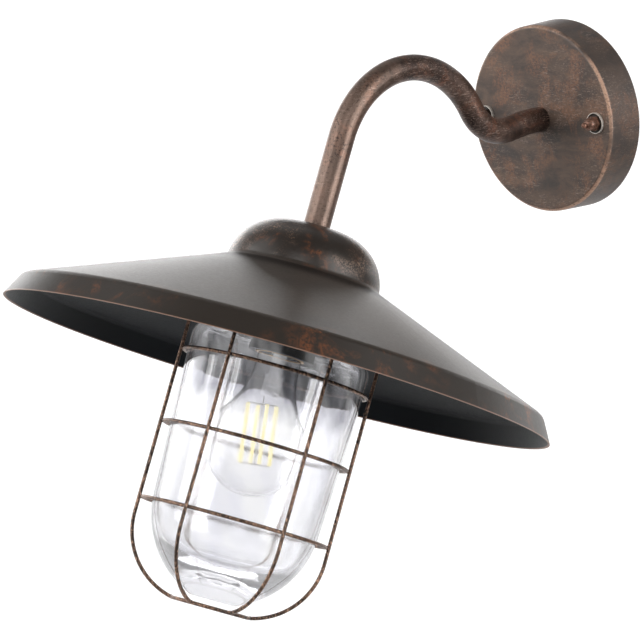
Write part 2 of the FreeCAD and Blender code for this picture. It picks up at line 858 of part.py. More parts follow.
def radial_frame(index, radius, height):
    """A frame whose Z axis points away from the shade's axis, at one of the thumbscrews."""
    turn = S.thumb_angle + Size(360 * index / SCREW_COUNT)
    return HEAD.turned("z", turn).moved(radius, 0, height).turned("y", Size(90))


def make_thumbscrews():
    """Three screws that press on the jar's neck under its lip, and the nuts on the holder's wall."""
    tip = S.jar_neck_radius + S.running_gap
    head = HOLDER_OUTER + S.nut_height + S.thumb_head_gap
    grip = S.thumb_head_length * GRIP_SHARE
    screws = []
    nuts = []
    for index, label in enumerate(numbered("glass_screw", SCREW_COUNT)):
        screws.append(spun(label, radial_frame(index, 0, S.thumb_height), [
            (0, tip), (S.screw_radius, tip), (S.screw_radius, head),
            (S.thumb_head_radius - grip, head), (S.thumb_head_radius, head + grip),
            (S.thumb_head_radius, head + S.thumb_head_length - grip),
            (S.thumb_head_radius - grip, head + S.thumb_head_length), (0, head + S.thumb_head_length)]))
        nuts.append(hex_nut("glass_nut_%d" % (index + 1), radial_frame(index, HOLDER_OUTER, S.thumb_height),
                            S.nut_across, SCREW_HOLE, S.nut_height))
    return screws + [group("glass_screw_nuts", nuts)]


def make_jar_seal():
    outer = S.jar_lip_radius
    return ring("glass_seal", HEAD, outer - S.seal_width, outer, JAR_LIP_TOP, SHELF_LOW)


def make_jar():
    """A pressed glass jar: a lipped neck, a round shoulder, a slight taper and a round, thick base."""
    wall = S.jar_wall
    k_sine = sine(S.jar_taper_angle)
    k_cosine = cosine(S.jar_taper_angle)
    slope = tangent(S.jar_taper_angle)
    low_x = S.jar_side_radius - S.jar_side_drop * slope
    low_z = -S.jar_side_drop
    centre_x = low_x - S.jar_base_radius * k_cosine
    centre_z = low_z + S.jar_base_radius * k_sine
    foot_z = centre_z - side_left(S.jar_base_radius, S.jar_foot_radius - centre_x)
    floor_z = foot_z + S.jar_base_thickness
    floor_x = centre_x + side_left(S.jar_base_radius - wall, floor_z - centre_z)
    top_x = S.jar_side_radius + S.jar_shoulder_height * slope
    top_z = S.jar_shoulder_height
    shoulder_x = top_x - S.jar_shoulder_radius * k_cosine
    shoulder_z = top_z + S.jar_shoulder_radius * k_sine
    over_z = shoulder_z + S.jar_shoulder_radius
    neck_inner = S.jar_neck_radius - wall
    body = spun("glass_jar", HEAD, [
        (0, foot_z),
        (S.jar_foot_radius, foot_z, S.jar_base_radius, 1),
        (low_x, low_z),
        (top_x, top_z, S.jar_shoulder_radius, 1),
        (shoulder_x, over_z),
        (S.jar_neck_radius, over_z),
        (S.jar_neck_radius, S.jar_lip_low),
        (S.jar_lip_radius, S.jar_lip_low),
        (S.jar_lip_radius, JAR_LIP_TOP),
        (neck_inner, JAR_LIP_TOP),
        (neck_inner, over_z - wall),
        (shoulder_x, over_z - wall, S.jar_shoulder_radius - wall, -1),
        (top_x - wall * k_cosine, top_z + wall * k_sine),
        (low_x - wall * k_cosine, low_z + wall * k_sine, S.jar_base_radius - wall, -1),
        (floor_x, floor_z),
        (0, floor_z)])
    round_edges(body, S.jar_edge_round, [
        (S.jar_foot_radius, foot_z), (S.jar_neck_radius, over_z), (S.jar_lip_radius, JAR_LIP_TOP),
        (S.jar_lip_radius, S.jar_lip_low), (neck_inner, JAR_LIP_TOP)])
    round_edges(body, S.jar_floor_round, [(floor_x, floor_z)])
    return body


CAGE_PLATE_LOW = S.holder_flange_height - S.cage_plate_thickness
CAGE_RING_RADIUS = S.cage_radius - 2 * S.wire_radius + S.weld_sink
CAGE_BEND_X = S.cage_radius - S.cage_bend_radius
CAGE_BEND_DROP = S.cage_side_drop + side_left(S.cage_bend_radius, S.cage_end_radius - CAGE_BEND_X)
CAGE_FRAME = HEAD.turned("z", S.cage_angle)


def make_cage_plate():
    """A flat ring that the cage's wires are welded to, screwed under the holder's flange."""
    frame = HEAD.turned("z", S.thumb_angle)
    body = ring("cage_plate", frame, S.cage_plate_inner, S.holder_flange_radius, CAGE_PLATE_LOW,
                S.holder_flange_height)
    circle = S.cage_screw_circle
    hole = drill(body, [(circle * cosine(CAGE_SCREW_TURN), circle * sine(CAGE_SCREW_TURN),
                         S.screw_radius + S.running_gap)])
    repeat(body, hole, SCREW_COUNT)
    return body


def make_cage_wires():
    """Straight wires down the cage's side that bend in to the end ring."""
    body = body_in("cage_wires", CAGE_FRAME)
    route = sketch_on(body, "XZ_Plane")
    steepness = (CAGE_BEND_DROP - S.cage_side_drop) / S.cage_bend_radius
    stop_x = S.cage_end_radius + (S.wire_radius - S.weld_sink) * steepness
    stop_z = -S.cage_side_drop - side_left(S.cage_bend_radius, stop_x - CAGE_BEND_X)
    draw_line(route, [
        (S.cage_radius, CAGE_PLATE_LOW),
        (S.cage_radius, -S.cage_side_drop, S.cage_bend_radius, -1),
        (stop_x, stop_z)], closed=False)
    wire = sweep(body, route, "XY_Plane", CAGE_PLATE_LOW, [(S.cage_radius, 0, S.wire_radius)])
    repeat(body, wire, WIRE_COUNT)
    return body


def make_cage_rings():
    rings = []
    for label, radius, height in (
            ("cage_ring_upper", CAGE_RING_RADIUS, -S.upper_ring_drop),
            ("cage_ring_middle", CAGE_RING_RADIUS, -S.middle_ring_drop),
            ("cage_ring_lower", CAGE_RING_RADIUS, -S.lower_ring_drop),
            ("cage_end_ring", S.cage_end_radius, -CAGE_BEND_DROP)):
        hoop = DOC.addObject("Part::Torus", label)
        hoop.Label = label
        hoop.setExpression("Radius1", radius.formula)
        hoop.setExpression("Radius2", S.wire_radius.formula)
        rings.append(hold(hoop, CAGE_FRAME.moved(0, 0, height)))
    return rings


def make_cage_screws():
    length = S.cage_plate_thickness + S.holder_sheet + S.nut_height + S.running_gap
    screws = []
    nuts = []
    for index in range(SCREW_COUNT):
        turn = S.thumb_angle + CAGE_SCREW_TURN + Size(360 * index / SCREW_COUNT)
        frame = HEAD.turned("z", turn).moved(S.cage_screw_circle, 0, CAGE_PLATE_LOW)
        screws.append(machine_screw("cage_screw_%d" % (index + 1), frame, S.screw_radius,
                                    S.screw_head_radius, S.screw_head_height, length))
        nut_seat = frame.moved(0, 0, S.cage_plate_thickness + S.holder_sheet)
        nuts.append(hex_nut("cage_nut_%d" % (index + 1), nut_seat, S.nut_across, SCREW_HOLE, S.nut_height))
    return [group("cage_screws", screws), group("cage_nuts", nuts)]


def make_lampholder():
    """The insulating cap and body, with the screw shell, centre contact and terminal screws inside."""
    outer = S.holder_body_radius
    cap_inner = outer - S.cap_wall
    mouth = S.mouth_height
    shell_outer = S.shell_radius + S.shell_sheet
    shell_top = BODY_FLOOR_LOW - S.shell_room
    cap = spun("lampholder_cap", HEAD, [
        (outer, BODY_TOP), (outer, CAP_SIDE_TOP),
        (S.cap_top_radius, HOLDER_PLATE_LOW), (PIPE_THREAD, HOLDER_PLATE_LOW),
        (PIPE_THREAD, CAP_SIDE_TOP), (cap_inner, CAP_SIDE_TOP), (cap_inner, BODY_TOP)])
    case = spun("lampholder_body", HEAD, [
        (S.body_bore, mouth), (outer, mouth), (outer, BODY_TOP), (0, BODY_TOP),
        (0, BODY_FLOOR_LOW), (S.body_bore, BODY_FLOOR_LOW)])
    place = S.terminal_place
    hole = S.terminal_radius + S.thread_gap
    drill(case, [(place, 0, hole), (-place, 0, hole)])
    shell = spun("lampholder_shell", HEAD, [
        (S.shell_radius, mouth - S.shell_sheet), (S.shell_flange_radius, mouth - S.shell_sheet),
        (S.shell_flange_radius, mouth), (shell_outer, mouth), (shell_outer, shell_top),
        (S.shell_radius, shell_top)])
    screws = []
    for side, name in ((-1, "left"), (1, "right")):
        seat = HEAD.moved(place * side, 0, BODY_TOP).turned("x", Size(180))
        screws.append(machine_screw("terminal_screw_" + name, seat, S.terminal_radius,
                                    S.terminal_head_radius, S.terminal_head_height, S.body_floor))
    return [cap, case, shell, make_centre_contact(), group("terminal_screws", screws)]


def make_centre_contact():
    """A folded spring strip on the lampholder's floor that reaches down to the bulb's tip."""
    body = body_in("lampholder_contact", HEAD.turned("z", Size(90)))
    half = S.contact_length / 2
    sheet = S.contact_sheet
    top = BODY_FLOOR_LOW
    low = BULB_TIP + S.running_gap
    sketch = sketch_on(body, "XZ_Plane")
    draw_line(sketch, [
        (-half, top), (-half, top - sheet), (half - sheet, top - sheet), (half - sheet, low + sheet),
        (-half, low + sheet), (-half, low), (half, low), (half, top)])
    pad(body, sketch, S.contact_width, midplane=True)
    return body


def make_bulb_base():
    """The metal screw base, its insulator and its centre contact."""
    sheet = S.base_sheet
    low = S.mouth_height
    shoulder = low + S.base_length - S.base_crown_height
    crown = low + S.base_length
    tip = crown + S.insulator_height
    inner = S.base_radius - sheet
    base = spun("bulb_base", HEAD, [
        (inner, low), (S.base_radius, low), (S.base_radius, shoulder), (S.base_crown_radius, crown),
        (S.base_crown_radius - sheet, crown), (S.base_crown_radius - sheet, crown - sheet),
        (inner, shoulder - sheet)])
    insulator = spun("bulb_insulator", HEAD, [
        (0, crown - S.base_crown_height), (S.base_crown_radius - 2 * sheet, crown - S.base_crown_height),
        (S.base_crown_radius - 2 * sheet, crown), (S.bulb_contact_radius, tip), (0, tip)])
    contact = spun("bulb_contact", HEAD, [
        (0, tip), (S.bulb_contact_radius, tip), (S.bulb_contact_radius - S.bulb_contact_height, BULB_TIP),
        (0, BULB_TIP)])
    return [base, insulator, contact]


BULB_TUBE = S.base_radius - S.base_sheet - S.thread_gap
BULB_GLASS_TOP = S.mouth_height + S.base_overlap


def bulb_line(inset):
    """The bulb's outline at a depth inside its outer skin, from the base down to the tip."""
    rise = S.bulb_centre_drop + S.bulb_neck_height
    spread = S.bulb_radius - S.bulb_neck_radius
    flank = (rise * rise - spread * (S.bulb_radius + S.bulb_neck_radius)) / (2 * spread)
    reach = S.bulb_radius + flank
    ball = S.bulb_radius - inset
    neck = S.bulb_neck_radius - inset
    return {
        "tube_top": (BULB_TUBE - inset, BULB_GLASS_TOP),
        "tube_low": (BULB_TUBE - inset, S.mouth_height),
        "neck_top": (neck, S.mouth_height - (S.bulb_neck_radius - BULB_TUBE) * 2),
        "neck_low": (neck, S.bulb_neck_height),
        "flank_low": (ball * (S.bulb_neck_radius + flank) / reach, ball * rise / reach - S.bulb_centre_drop),
        "tip": -S.bulb_centre_drop - ball,
        "flank_radius": flank + inset,
        "ball_radius": ball,
    }


def make_bulb_glass():
    outer = bulb_line(Size(0))
    inner = bulb_line(S.bulb_glass)
    return spun("bulb_glass", HEAD, [
        outer["tube_top"],
        inner["tube_top"],
        inner["tube_low"],
        inner["neck_top"],
        inner["neck_low"] + (inner["flank_radius"], 1),
        inner["flank_low"] + (inner["ball_radius"], -1),
        (0, inner["tip"]),
        (0, outer["tip"], outer["ball_radius"], 1),
        outer["flank_low"] + (outer["flank_radius"], -1),
        outer["neck_low"],
        outer["neck_top"],
        outer["tube_low"]])


def make_bulb_stem():
    """The glass stem: a flared foot sealed in the neck, a tube and a flat press."""
    body = body_in("bulb_stem", HEAD.turned("z", S.filament_angle))
    foot = BULB_TUBE - S.bulb_glass - S.thread_gap
    stem_low = S.press_height / 2 - S.press_drop
    spin(body, [
        (0, BULB_GLASS_TOP), (foot, BULB_GLASS_TOP), (foot, BULB_GLASS_TOP - S.stem_flare),
        (S.stem_radius, BULB_GLASS_TOP - 2 * S.stem_flare), (S.stem_radius, stem_low), (0, stem_low)])
    press = sketch_on(body, "XY_Plane", -S.press_drop)
    half_width = S.press_width / 2
    half = S.press_thickness / 2
    draw_line(press, [(-half_width, -half), (half_width, -half), (half_width, half), (-half_width, half)])
    pad(body, press, S.press_height)
    return body


def make_filaments():
    """Four straight filaments in a leaning ring, on a post with arms at both ends."""
    middle = HEAD.moved(0, 0, -S.filament_drop)
    centre = middle.turned("z", S.filament_angle).turned("y", -S.filament_lean_angle)
    half = S.filament_length / 2
    circle = S.filament_circle
    filaments = []
    post_top = (S.filament_drop - S.press_drop) / cosine(S.filament_lean_angle) - S.thread_gap
    post_low = half + S.post_radius
    bars = [rod("post", centre.moved(0, 0, -post_low), S.post_radius, post_top + post_low)]
    for index in range(FILAMENT_COUNT):
        turned = centre.turned("z", S.filament_turn_angle + Size(360 * index / FILAMENT_COUNT))
        filaments.append(rod("filament_%d" % (index + 1), turned.moved(circle, 0, -half), S.filament_radius,
                             S.filament_length))
        for name, level in (("top", post_low), ("low", -post_low)):
            arm_start = turned.moved(0, 0, level).turned("y", Size(90))
            bars.append(rod("arm_%s_%d" % (name, index + 1), arm_start, S.post_radius, circle))
    frame = DOC.addObject("Part::MultiFuse", "filament_frame")
    frame.Label = "filament_frame"
    frame.Shapes = bars
    return [group("bulb_filaments", filaments), frame]


def make_leads():
    """Two supply leads that the arm holds all the way from the canopy to the lampholder."""
    leads = []
    stop = head_point(BODY_TOP + S.terminal_head_height + S.running_gap)
    for name, side in (("lead_black", 1), ("lead_white", -1)):
        body = body_in(name, WORLD)
        offset = S.lead_spread * side
        route = route_sketch(body, (-S.lead_start, Size(0)), stop, offset)
        sweep(body, route, "XZ_Plane", S.lead_start, [(offset, 0, S.lead_radius)])
        leads.append(body)
    return leads


def make_all():
    pieces = [make_crossbar(), make_ground_screw()]
    pieces += make_studs()
    pieces += [make_wall_gasket(), make_canopy(), make_cup_washers()]
    pieces += [make_cap_nut("cap_nut_left", -1), make_cap_nut("cap_nut_right", 1)]
    pieces += make_canopy_clamp()
    pieces += [make_arm(), make_shade()]
    pieces += make_shade_clamp()
    pieces += [make_glass_holder(), make_jar_seal(), make_jar()]
    pieces += make_thumbscrews()
    pieces += [make_cage_plate(), make_cage_wires()]
    pieces += make_cage_rings()
    pieces += make_cage_screws()
    pieces += make_lampholder()
    pieces += make_bulb_base()
    pieces += [make_bulb_glass(), make_bulb_stem()]
    pieces += make_filaments()
    pieces += make_leads()
    return pieces


def check(pieces):
    """Stops before anything is written if an object failed or a piece's shape is wrong."""
    for item in DOC.Objects:
        if "Invalid" in item.State or "Error" in item.State:
            raise RuntimeError("%s failed" % item.Label)
    for piece in pieces:
        if piece.Shape.isNull() or not piece.Shape.isValid() or not piece.Shape.Solids:
            raise RuntimeError("%s has no valid shape" % piece.Label)


PIECES = make_all()
DOC.recompute()
check(PIECES)
for piece in PIECES:
    piece.Shape.exportStep(os.path.join("parts", piece.Label + ".step"))
print("%d pieces written" % len(PIECES))
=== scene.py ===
import json
import math

import bmesh
import bpy
from mathutils import Matrix, Vector, noise


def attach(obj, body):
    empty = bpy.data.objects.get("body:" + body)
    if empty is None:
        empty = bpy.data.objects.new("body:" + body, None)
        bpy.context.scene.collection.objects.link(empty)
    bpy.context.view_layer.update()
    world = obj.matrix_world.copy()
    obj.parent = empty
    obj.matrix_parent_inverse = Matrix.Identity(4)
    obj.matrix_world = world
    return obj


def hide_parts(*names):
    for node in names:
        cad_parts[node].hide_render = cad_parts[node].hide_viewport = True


# Looks of the outdoor wall lamp: patinated metal, clear pressed glass, a clear bulb, floor, light and camera.
# Lengths are in metres in the shared frame. Turned pieces are drawn in millimetres and scaled by MM.

MM = 0.001
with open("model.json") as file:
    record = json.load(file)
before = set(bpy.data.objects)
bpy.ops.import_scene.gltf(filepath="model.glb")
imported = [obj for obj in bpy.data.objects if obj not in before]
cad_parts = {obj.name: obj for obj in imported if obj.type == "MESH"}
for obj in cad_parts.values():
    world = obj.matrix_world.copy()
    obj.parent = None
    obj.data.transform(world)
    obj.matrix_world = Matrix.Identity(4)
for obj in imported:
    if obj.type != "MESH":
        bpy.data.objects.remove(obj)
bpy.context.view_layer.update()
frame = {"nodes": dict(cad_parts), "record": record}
nodes = frame["nodes"]

# The head is the shade and all that hangs from it. Its own frame starts at the centre of the shade's rim.
TILT = math.radians(27.2)
RIM = Vector((0, -0.2651446, -0.1143668))
HEAD = Matrix.Translation(RIM) @ Matrix.Rotation(-TILT, 4, "X")
HEAD_UP = HEAD.to_3x3() @ Vector((0, 0, 1))
WALL = Matrix.Rotation(math.pi / 2, 4, "X")
OUT_FROM_WALL = (0, -1, 0)
STUD_X = 0.0475
# A point nearer to the axis than this, in millimetres, is on it.
ON_AXIS = 1e-6

# Where a look starts and where it is full. A band also says where it starts to fade and where it has gone.
# On the shade these are heights above the rim plane.
RIM_EDGE = (0.0007, 0.0003)
SKIRT = (0.0145, 0.0125)
SKIRT_FOLD_BAND = (0.0105, 0.0145, 0.0145, 0.0185)
SHADED_CREASE_BAND = (0.0520, 0.0570, 0.0585, 0.0600)
DOME = (0.0585, 0.0625)
DOME_FOOT_HIGHLIGHT_BAND = (0.0600, 0.0630, 0.0670, 0.0730)
FACES_DOWN = (-0.02, -0.08)
CANOPY_CORNER_RADIUS = (0.0580, 0.0588)
CANOPY_CORNER_OUT = (0.0236, 0.0246)
CANOPY_SHADED_SIDE_OUT = (0.0245, 0.0225)
ARM_LIT_RUN_OUT = (0.135, 0.185)
WASHER_LIP_RADIUS = (0.0061, 0.0063)
EVEN = (0.35, 0.65)

WHITE = (1.0, 1.0, 1.0, 1.0)
GLASS_GREY = (0.54, 0.54, 0.59, 1.0)
PALE_SPECK = (0.62, 0.52, 0.45, 1.0)


def srgb(red, green, blue):
    """A colour as seen on a screen, turned into the linear one that shaders take."""
    return tuple((c / 255 / 12.92) if c <= 10 else ((c / 255 + 0.055) / 1.055) ** 2.4
                 for c in (red, green, blue)) + (1.0,)


class Paint:
    """Builds one material from shader nodes."""

    def __init__(self, name):
        self.material = bpy.data.materials.new(name)
        self.material.use_nodes = True
        self.tree = self.material.node_tree
        self.shader = self.tree.nodes["Principled BSDF"]
        self.place = self.add("ShaderNodeTexCoord").outputs["Object"]

    def add(self, kind, **settings):
        node = self.tree.nodes.new(kind)
        for key, value in settings.items():
            setattr(node, key, value)
        return node

    def put(self, socket, value):
        if isinstance(value, bpy.types.NodeSocket):
            self.tree.links.new(value, socket)
        else:
            socket.default_value = value

    def mapped(self, scale, turn=(0, 0, 0)):
        """The place, turned and stretched, for a noise that runs one way."""
        node = self.add("ShaderNodeMapping")
        self.put(node.inputs["Vector"], self.place)
        node.inputs["Rotation"].default_value = turn
        node.inputs["Scale"].default_value = scale
        return node.outputs["Vector"]

    def noise(self, scale=1.0, detail=4.0, roughness=0.6, distortion=0.0, vector=None):
        node = self.add("ShaderNodeTexNoise")
        self.put(node.inputs["Vector"], vector or self.place)
        node.inputs["Scale"].default_value = scale
        node.inputs["Detail"].default_value = detail
        node.inputs["Roughness"].default_value = roughness
        node.inputs["Distortion"].default_value = distortion
        return node.outputs["Fac"]

    def math(self, operation, first, second=0.0, clamp=False):
        node = self.add("ShaderNodeMath", operation=operation, use_clamp=clamp)
        self.put(node.inputs[0], first)
        self.put(node.inputs[1], second)
        return node.outputs[0]

    def plus(self, first, second):
        return self.math("ADD", first, second)

    def minus(self, first, second, clamp=False):
        return self.math("SUBTRACT", first, second, clamp)

    def times(self, first, *others):
        for other in others:
            first = self.math("MULTIPLY", first, other)
        return first

    def uneven(self, middle, grain, spread):
        """A value that follows a noise round its middle."""
        return self.plus(self.times(grain, spread), middle - spread / 2)

    def span(self, value, low, high, start=0.0, stop=1.0):
        """A smooth step from start, reached at low, to stop, reached at high. Low may lie above high."""
        node = self.add("ShaderNodeMapRange", interpolation_type="SMOOTHSTEP")
        self.put(node.inputs["Value"], value)
        node.inputs["From Min"].default_value = low
        node.inputs["From Max"].default_value = high
        node.inputs["To Min"].default_value = start
        node.inputs["To Max"].default_value = stop
        return node.outputs["Result"]

    def band(self, value, low, full, fading, high):
        """A smooth step up and one down again."""
        return self.times(self.span(value, low, full), self.span(value, high, fading))

    def mix(self, share, first, second):
        node = self.add("ShaderNodeMix", data_type="RGBA", blend_type="MIX")
        self.put(node.inputs[0], share)
        self.put(node.inputs[6], first)
        self.put(node.inputs[7], second)
        return node.outputs[2]

    def vector(self, operation, first, second=(0, 0, 0)):
        node = self.add("ShaderNodeVectorMath", operation=operation)
        self.put(node.inputs[0], first)
        self.put(node.inputs[1], second)
        return node.outputs["Value" if operation in ("DOT_PRODUCT", "LENGTH") else "Vector"]

    def along(self, direction, start=(0, 0, 0)):
        """How far the place lies from the start, along a direction."""
        return self.vector("DOT_PRODUCT", self.vector("SUBTRACT", self.place, tuple(start)), tuple(direction))

    def head_height(self):
        """Height above the shade's rim plane, along the shade's axis."""
        return self.along(HEAD_UP, RIM)

    def axis_distance(self, point, axis):
        away = self.vector("SUBTRACT", self.place, tuple(point))
        return self.vector("LENGTH", self.vector("CROSS_PRODUCT", away, tuple(axis)))

    def bump(self, height, strength, distance):
        node = self.add("ShaderNodeBump")
        node.inputs["Strength"].default_value = strength
        node.inputs["Distance"].default_value = distance
        self.put(node.inputs["Height"], height)
        self.put(self.shader.inputs["Normal"], node.outputs["Normal"])

    def finish(self, colour, roughness, metallic, **sockets):
        self.put(self.shader.inputs["Base Color"], colour)
        self.put(self.shader.inputs["Roughness"], roughness)
        self.put(self.shader.inputs["Metallic"], metallic)
        for key, value in sockets.items():
            self.put(self.shader.inputs[key.replace("_", " ")], value)
        return self.material


# Metal, rubber and plastic

def patina(name, dark, mid, copper, strokes, patch, speck, roughness, metallic, wear_and_painted_light=None, fine=900.0):
    """Dark paint with brushed-on mid and copper tones, fine pale specks, and worn places, painted highlights and
    painted shade from the function it is given.

    Strokes are the brush marks' scales along X, Y and Z; patch and speck are the shares of copper and specks.
    """
    paint = Paint(name)
    brushed = paint.noise(detail=7.0, roughness=0.66, distortion=0.5, vector=paint.mapped(strokes))
    colour = paint.mix(paint.span(brushed, 0.34, 0.66), dark, mid)
    blotch = paint.noise(scale=52.0, detail=5.0, roughness=0.62, distortion=0.6)
    grain = paint.noise(scale=620.0, roughness=0.7)
    coppery = paint.times(paint.span(blotch, 0.46, 0.66), paint.span(grain, 0.34, 0.62), patch)
    colour = paint.mix(coppery, colour, copper)
    dust = paint.noise(scale=fine, detail=3.0, roughness=0.75)
    area = paint.noise(scale=26.0, detail=3.0, roughness=0.5, distortion=0.3)
    for turn in (0.5, -0.8, 1.9):
        scratch = paint.noise(detail=3.0, distortion=0.6, vector=paint.mapped((220, 220, 1500), (0.3, turn, 0.2)))
        dust = paint.math("MAXIMUM", dust, paint.times(scratch, 0.97))
    specks = paint.times(paint.span(dust, 0.58, 0.70), paint.span(area, 0.38, 0.60), speck)
    colour = paint.mix(specks, colour, paint.mix(0.5, copper, PALE_SPECK))
    if wear_and_painted_light is not None:
        # The given function says where to darken as painted shade, and where to lighten for wear and painted
        # highlights.
        wear_and_light_marks = wear_and_painted_light(paint)
        colour = paint.mix(wear_and_light_marks["painted_shade"], colour, dark)
        broken = paint.times(wear_and_light_marks["where"], paint.span(grain, 0.30, 0.52), wear_and_light_marks["share"])
        colour = paint.mix(broken, colour, wear_and_light_marks["tint"])
    relief = paint.plus(paint.times(grain, 0.6), paint.times(dust, 0.4))
    paint.bump(relief, strength=0.35, distance=0.0004)
    return paint.finish(colour, paint.uneven(roughness, grain, spread=0.22), metallic)


def canopy_wear_and_shade(paint):
    """The canopy's front corner is rubbed to copper, and its side wall is darkened as painted shade."""
    radius = paint.axis_distance((0, 0, 0), OUT_FROM_WALL)
    out = paint.along(OUT_FROM_WALL)
    corner = paint.times(paint.span(radius, *CANOPY_CORNER_RADIUS), paint.span(out, *CANOPY_CORNER_OUT))
    rubbed_and_highlit = paint.times(corner, paint.span(paint.noise(scale=30.0), 0.36, 0.56))
    # Painted shade: the side wall is darker than the face because less light falls on it.
    side = paint.span(out, *CANOPY_SHADED_SIDE_OUT, stop=0.45)
    return {"where": rubbed_and_highlit, "tint": srgb(190, 152, 128), "share": 0.8, "painted_shade": side}


def arm_painted_highlight(paint):
    """Painted highlight: the arm's long run down to the shade gets lighter specks."""
    lit_run = paint.span(paint.along(OUT_FROM_WALL), *ARM_LIT_RUN_OUT)
    return {"where": lit_run, "tint": srgb(150, 128, 114), "share": 0.36, "painted_shade": 0.0}


def dome_colour(paint, height, rusty, dust):
    """The dome's dark paint, with rust, pale specks, and more pale specks round its foot as a painted highlight.
    """
    rust = paint.times(rusty, paint.span(paint.noise(scale=34.0), 0.44, 0.60), 0.8)
    colour = paint.mix(rust, srgb(38, 32, 28), srgb(122, 72, 42))
    area = paint.span(paint.noise(scale=30.0, detail=3.0, roughness=0.5), 0.42, 0.58)
    specks = paint.times(paint.span(dust, 0.52, 0.64), area, 0.55)
    colour = paint.mix(specks, colour, srgb(176, 140, 116))
    # Painted highlight: a band of pale specks round the dome's foot, where the light catches it.
    area = paint.span(paint.noise(scale=27.0, detail=3.0), 0.51, 0.63)
    rubbed_and_highlit = paint.times(paint.span(dust, 0.44, 0.58), area, paint.band(height, *DOME_FOOT_HIGHLIGHT_BAND), 0.36)
    return paint.mix(rubbed_and_highlit, colour, srgb(196, 164, 144))


def shade_material():
    """Satin brown-grey skin with a rusty skirt and dome, painted shade on the cone below the dome, a bare copper
    rim brightened as a painted highlight, and a blue-black inside.
    """
    paint = Paint("shade_skin")
    height = paint.head_height()
    dome = paint.span(height, *DOME)
    painted_crease_shade = paint.band(height, *SHADED_CREASE_BAND)
    normal = paint.add("ShaderNodeTexCoord").outputs["Normal"]
    inside = paint.span(paint.vector("DOT_PRODUCT", normal, tuple(HEAD_UP)), *FACES_DOWN)
    grain = paint.noise(scale=520.0, roughness=0.7)
    cloud = paint.noise(scale=14.0, roughness=0.55, distortion=0.3)
    dust = paint.noise(scale=950.0, detail=3.0, roughness=0.75)
    blotch = paint.noise(scale=46.0, detail=5.0, roughness=0.65, distortion=0.9)
    rusty = paint.times(paint.span(blotch, 0.47, 0.64), paint.span(grain, 0.36, 0.58))
    rust = paint.times(rusty, paint.span(paint.noise(scale=18.0, detail=3.0), 0.42, 0.64), 0.9)

    colour = paint.mix(paint.span(cloud, *EVEN), srgb(47, 41, 36), srgb(58, 50, 43))
    skirt = paint.mix(rust, srgb(38, 32, 27), srgb(118, 68, 38))
    colour = paint.mix(paint.span(height, *SKIRT), colour, skirt)
    # Painted shade: the cone just below the dome is darkened where the dome overhangs it.
    colour = paint.mix(paint.times(painted_crease_shade, 0.8), colour, srgb(26, 22, 20))
    colour = paint.mix(dome, colour, dome_colour(paint, height, rusty, dust))
    scuff = paint.times(paint.band(height, *SKIRT_FOLD_BAND), rust, 0.6)
    colour = paint.mix(scuff, colour, srgb(140, 92, 60))
    inner = paint.mix(paint.span(cloud, *EVEN), srgb(10, 14, 18), srgb(16, 21, 26))
    colour = paint.mix(inside, colour, inner)
    # Bare copper along the rim's edge, brightened as a painted highlight.
    bare_and_highlit_rim = paint.times(paint.span(height, *RIM_EDGE), 0.7)
    colour = paint.mix(bare_and_highlit_rim, colour, srgb(150, 116, 98))

    rough = paint.plus(paint.times(grain, 0.18), paint.minus(0.33, paint.times(dome, 0.07)))
    relief = paint.plus(grain, paint.times(dust, dome, 1.5))
    paint.bump(paint.plus(relief, paint.times(cloud, 0.5)), strength=0.16, distance=0.0003)
    shine = paint.minus(0.5, paint.times(inside, 0.40))
    # The painted shade below the dome is also made less shiny.
    shine = paint.minus(shine, paint.times(painted_crease_shade, 0.35), clamp=True)
    return paint.finish(colour, rough, 0.0, Specular_IOR_Level=shine, Specular_Tint=(1.0, 0.96, 0.93, 1.0))


def cast_metal(name, dark, light, roughness, metallic, scale=700.0, strength=0.2):
    """A plain material with a fine grain and soft clouds between two tones."""
    paint = Paint(name)
    grain = paint.noise(scale=scale, roughness=0.7)
    cloud = paint.noise(scale=scale / 12, detail=3.0)
    tone = paint.times(paint.plus(grain, cloud), 0.5)
    paint.bump(grain, strength, distance=0.0002)
    return paint.finish(paint.mix(paint.span(tone, 0.4, 0.6), dark, light),
                        paint.uneven(roughness, grain, spread=0.2), metallic)


def dull(name, dark, light, roughness):
    """Rubber or plastic."""
    return cast_metal(name, dark, light, roughness, metallic=0.0, scale=500.0, strength=0.15)


def washer_material():
    """A cup washer: dark inside, bare bright metal on its thin lip."""
    paint = Paint("washer_skin")
    grain = paint.noise(scale=1400.0, detail=3.0)
    across = paint.vector("MULTIPLY", paint.vector("ABSOLUTE", paint.place), (1, 0, 1))
    away = paint.vector("LENGTH", paint.vector("SUBTRACT", across, (STUD_X, 0, 0)))
    lip = paint.span(away, *WASHER_LIP_RADIUS)
    dark = paint.mix(paint.span(grain, *EVEN), srgb(30, 26, 23), srgb(48, 40, 34))
    bright = paint.mix(paint.span(grain, *EVEN), srgb(206, 198, 188), srgb(236, 230, 222))
    paint.bump(grain, strength=0.2, distance=0.0001)
    return paint.finish(paint.mix(lip, dark, bright), 0.35, paint.times(lip, 0.4))


def cage_material():
    """Dark wire with fine slanting copper flecks that are painted highlights, like glints along the wire."""
    paint = Paint("cage_skin")
    slanting = paint.mapped((900, 900, 420), (0.5, 0.3, 0.4))
    glint_fleck = paint.noise(roughness=0.7, distortion=0.4, vector=slanting)
    patch = paint.noise(scale=70.0, distortion=0.5)
    colour = paint.mix(paint.span(patch, 0.40, 0.62), srgb(64, 54, 48), srgb(106, 82, 68))
    # Painted highlight: light copper flecks along the wire.
    colour = paint.mix(paint.times(paint.span(glint_fleck, 0.50, 0.62), 0.8), colour, srgb(200, 160, 134))
    paint.bump(glint_fleck, strength=0.5, distance=0.0003)
    return paint.finish(colour, 0.38, 0.6)


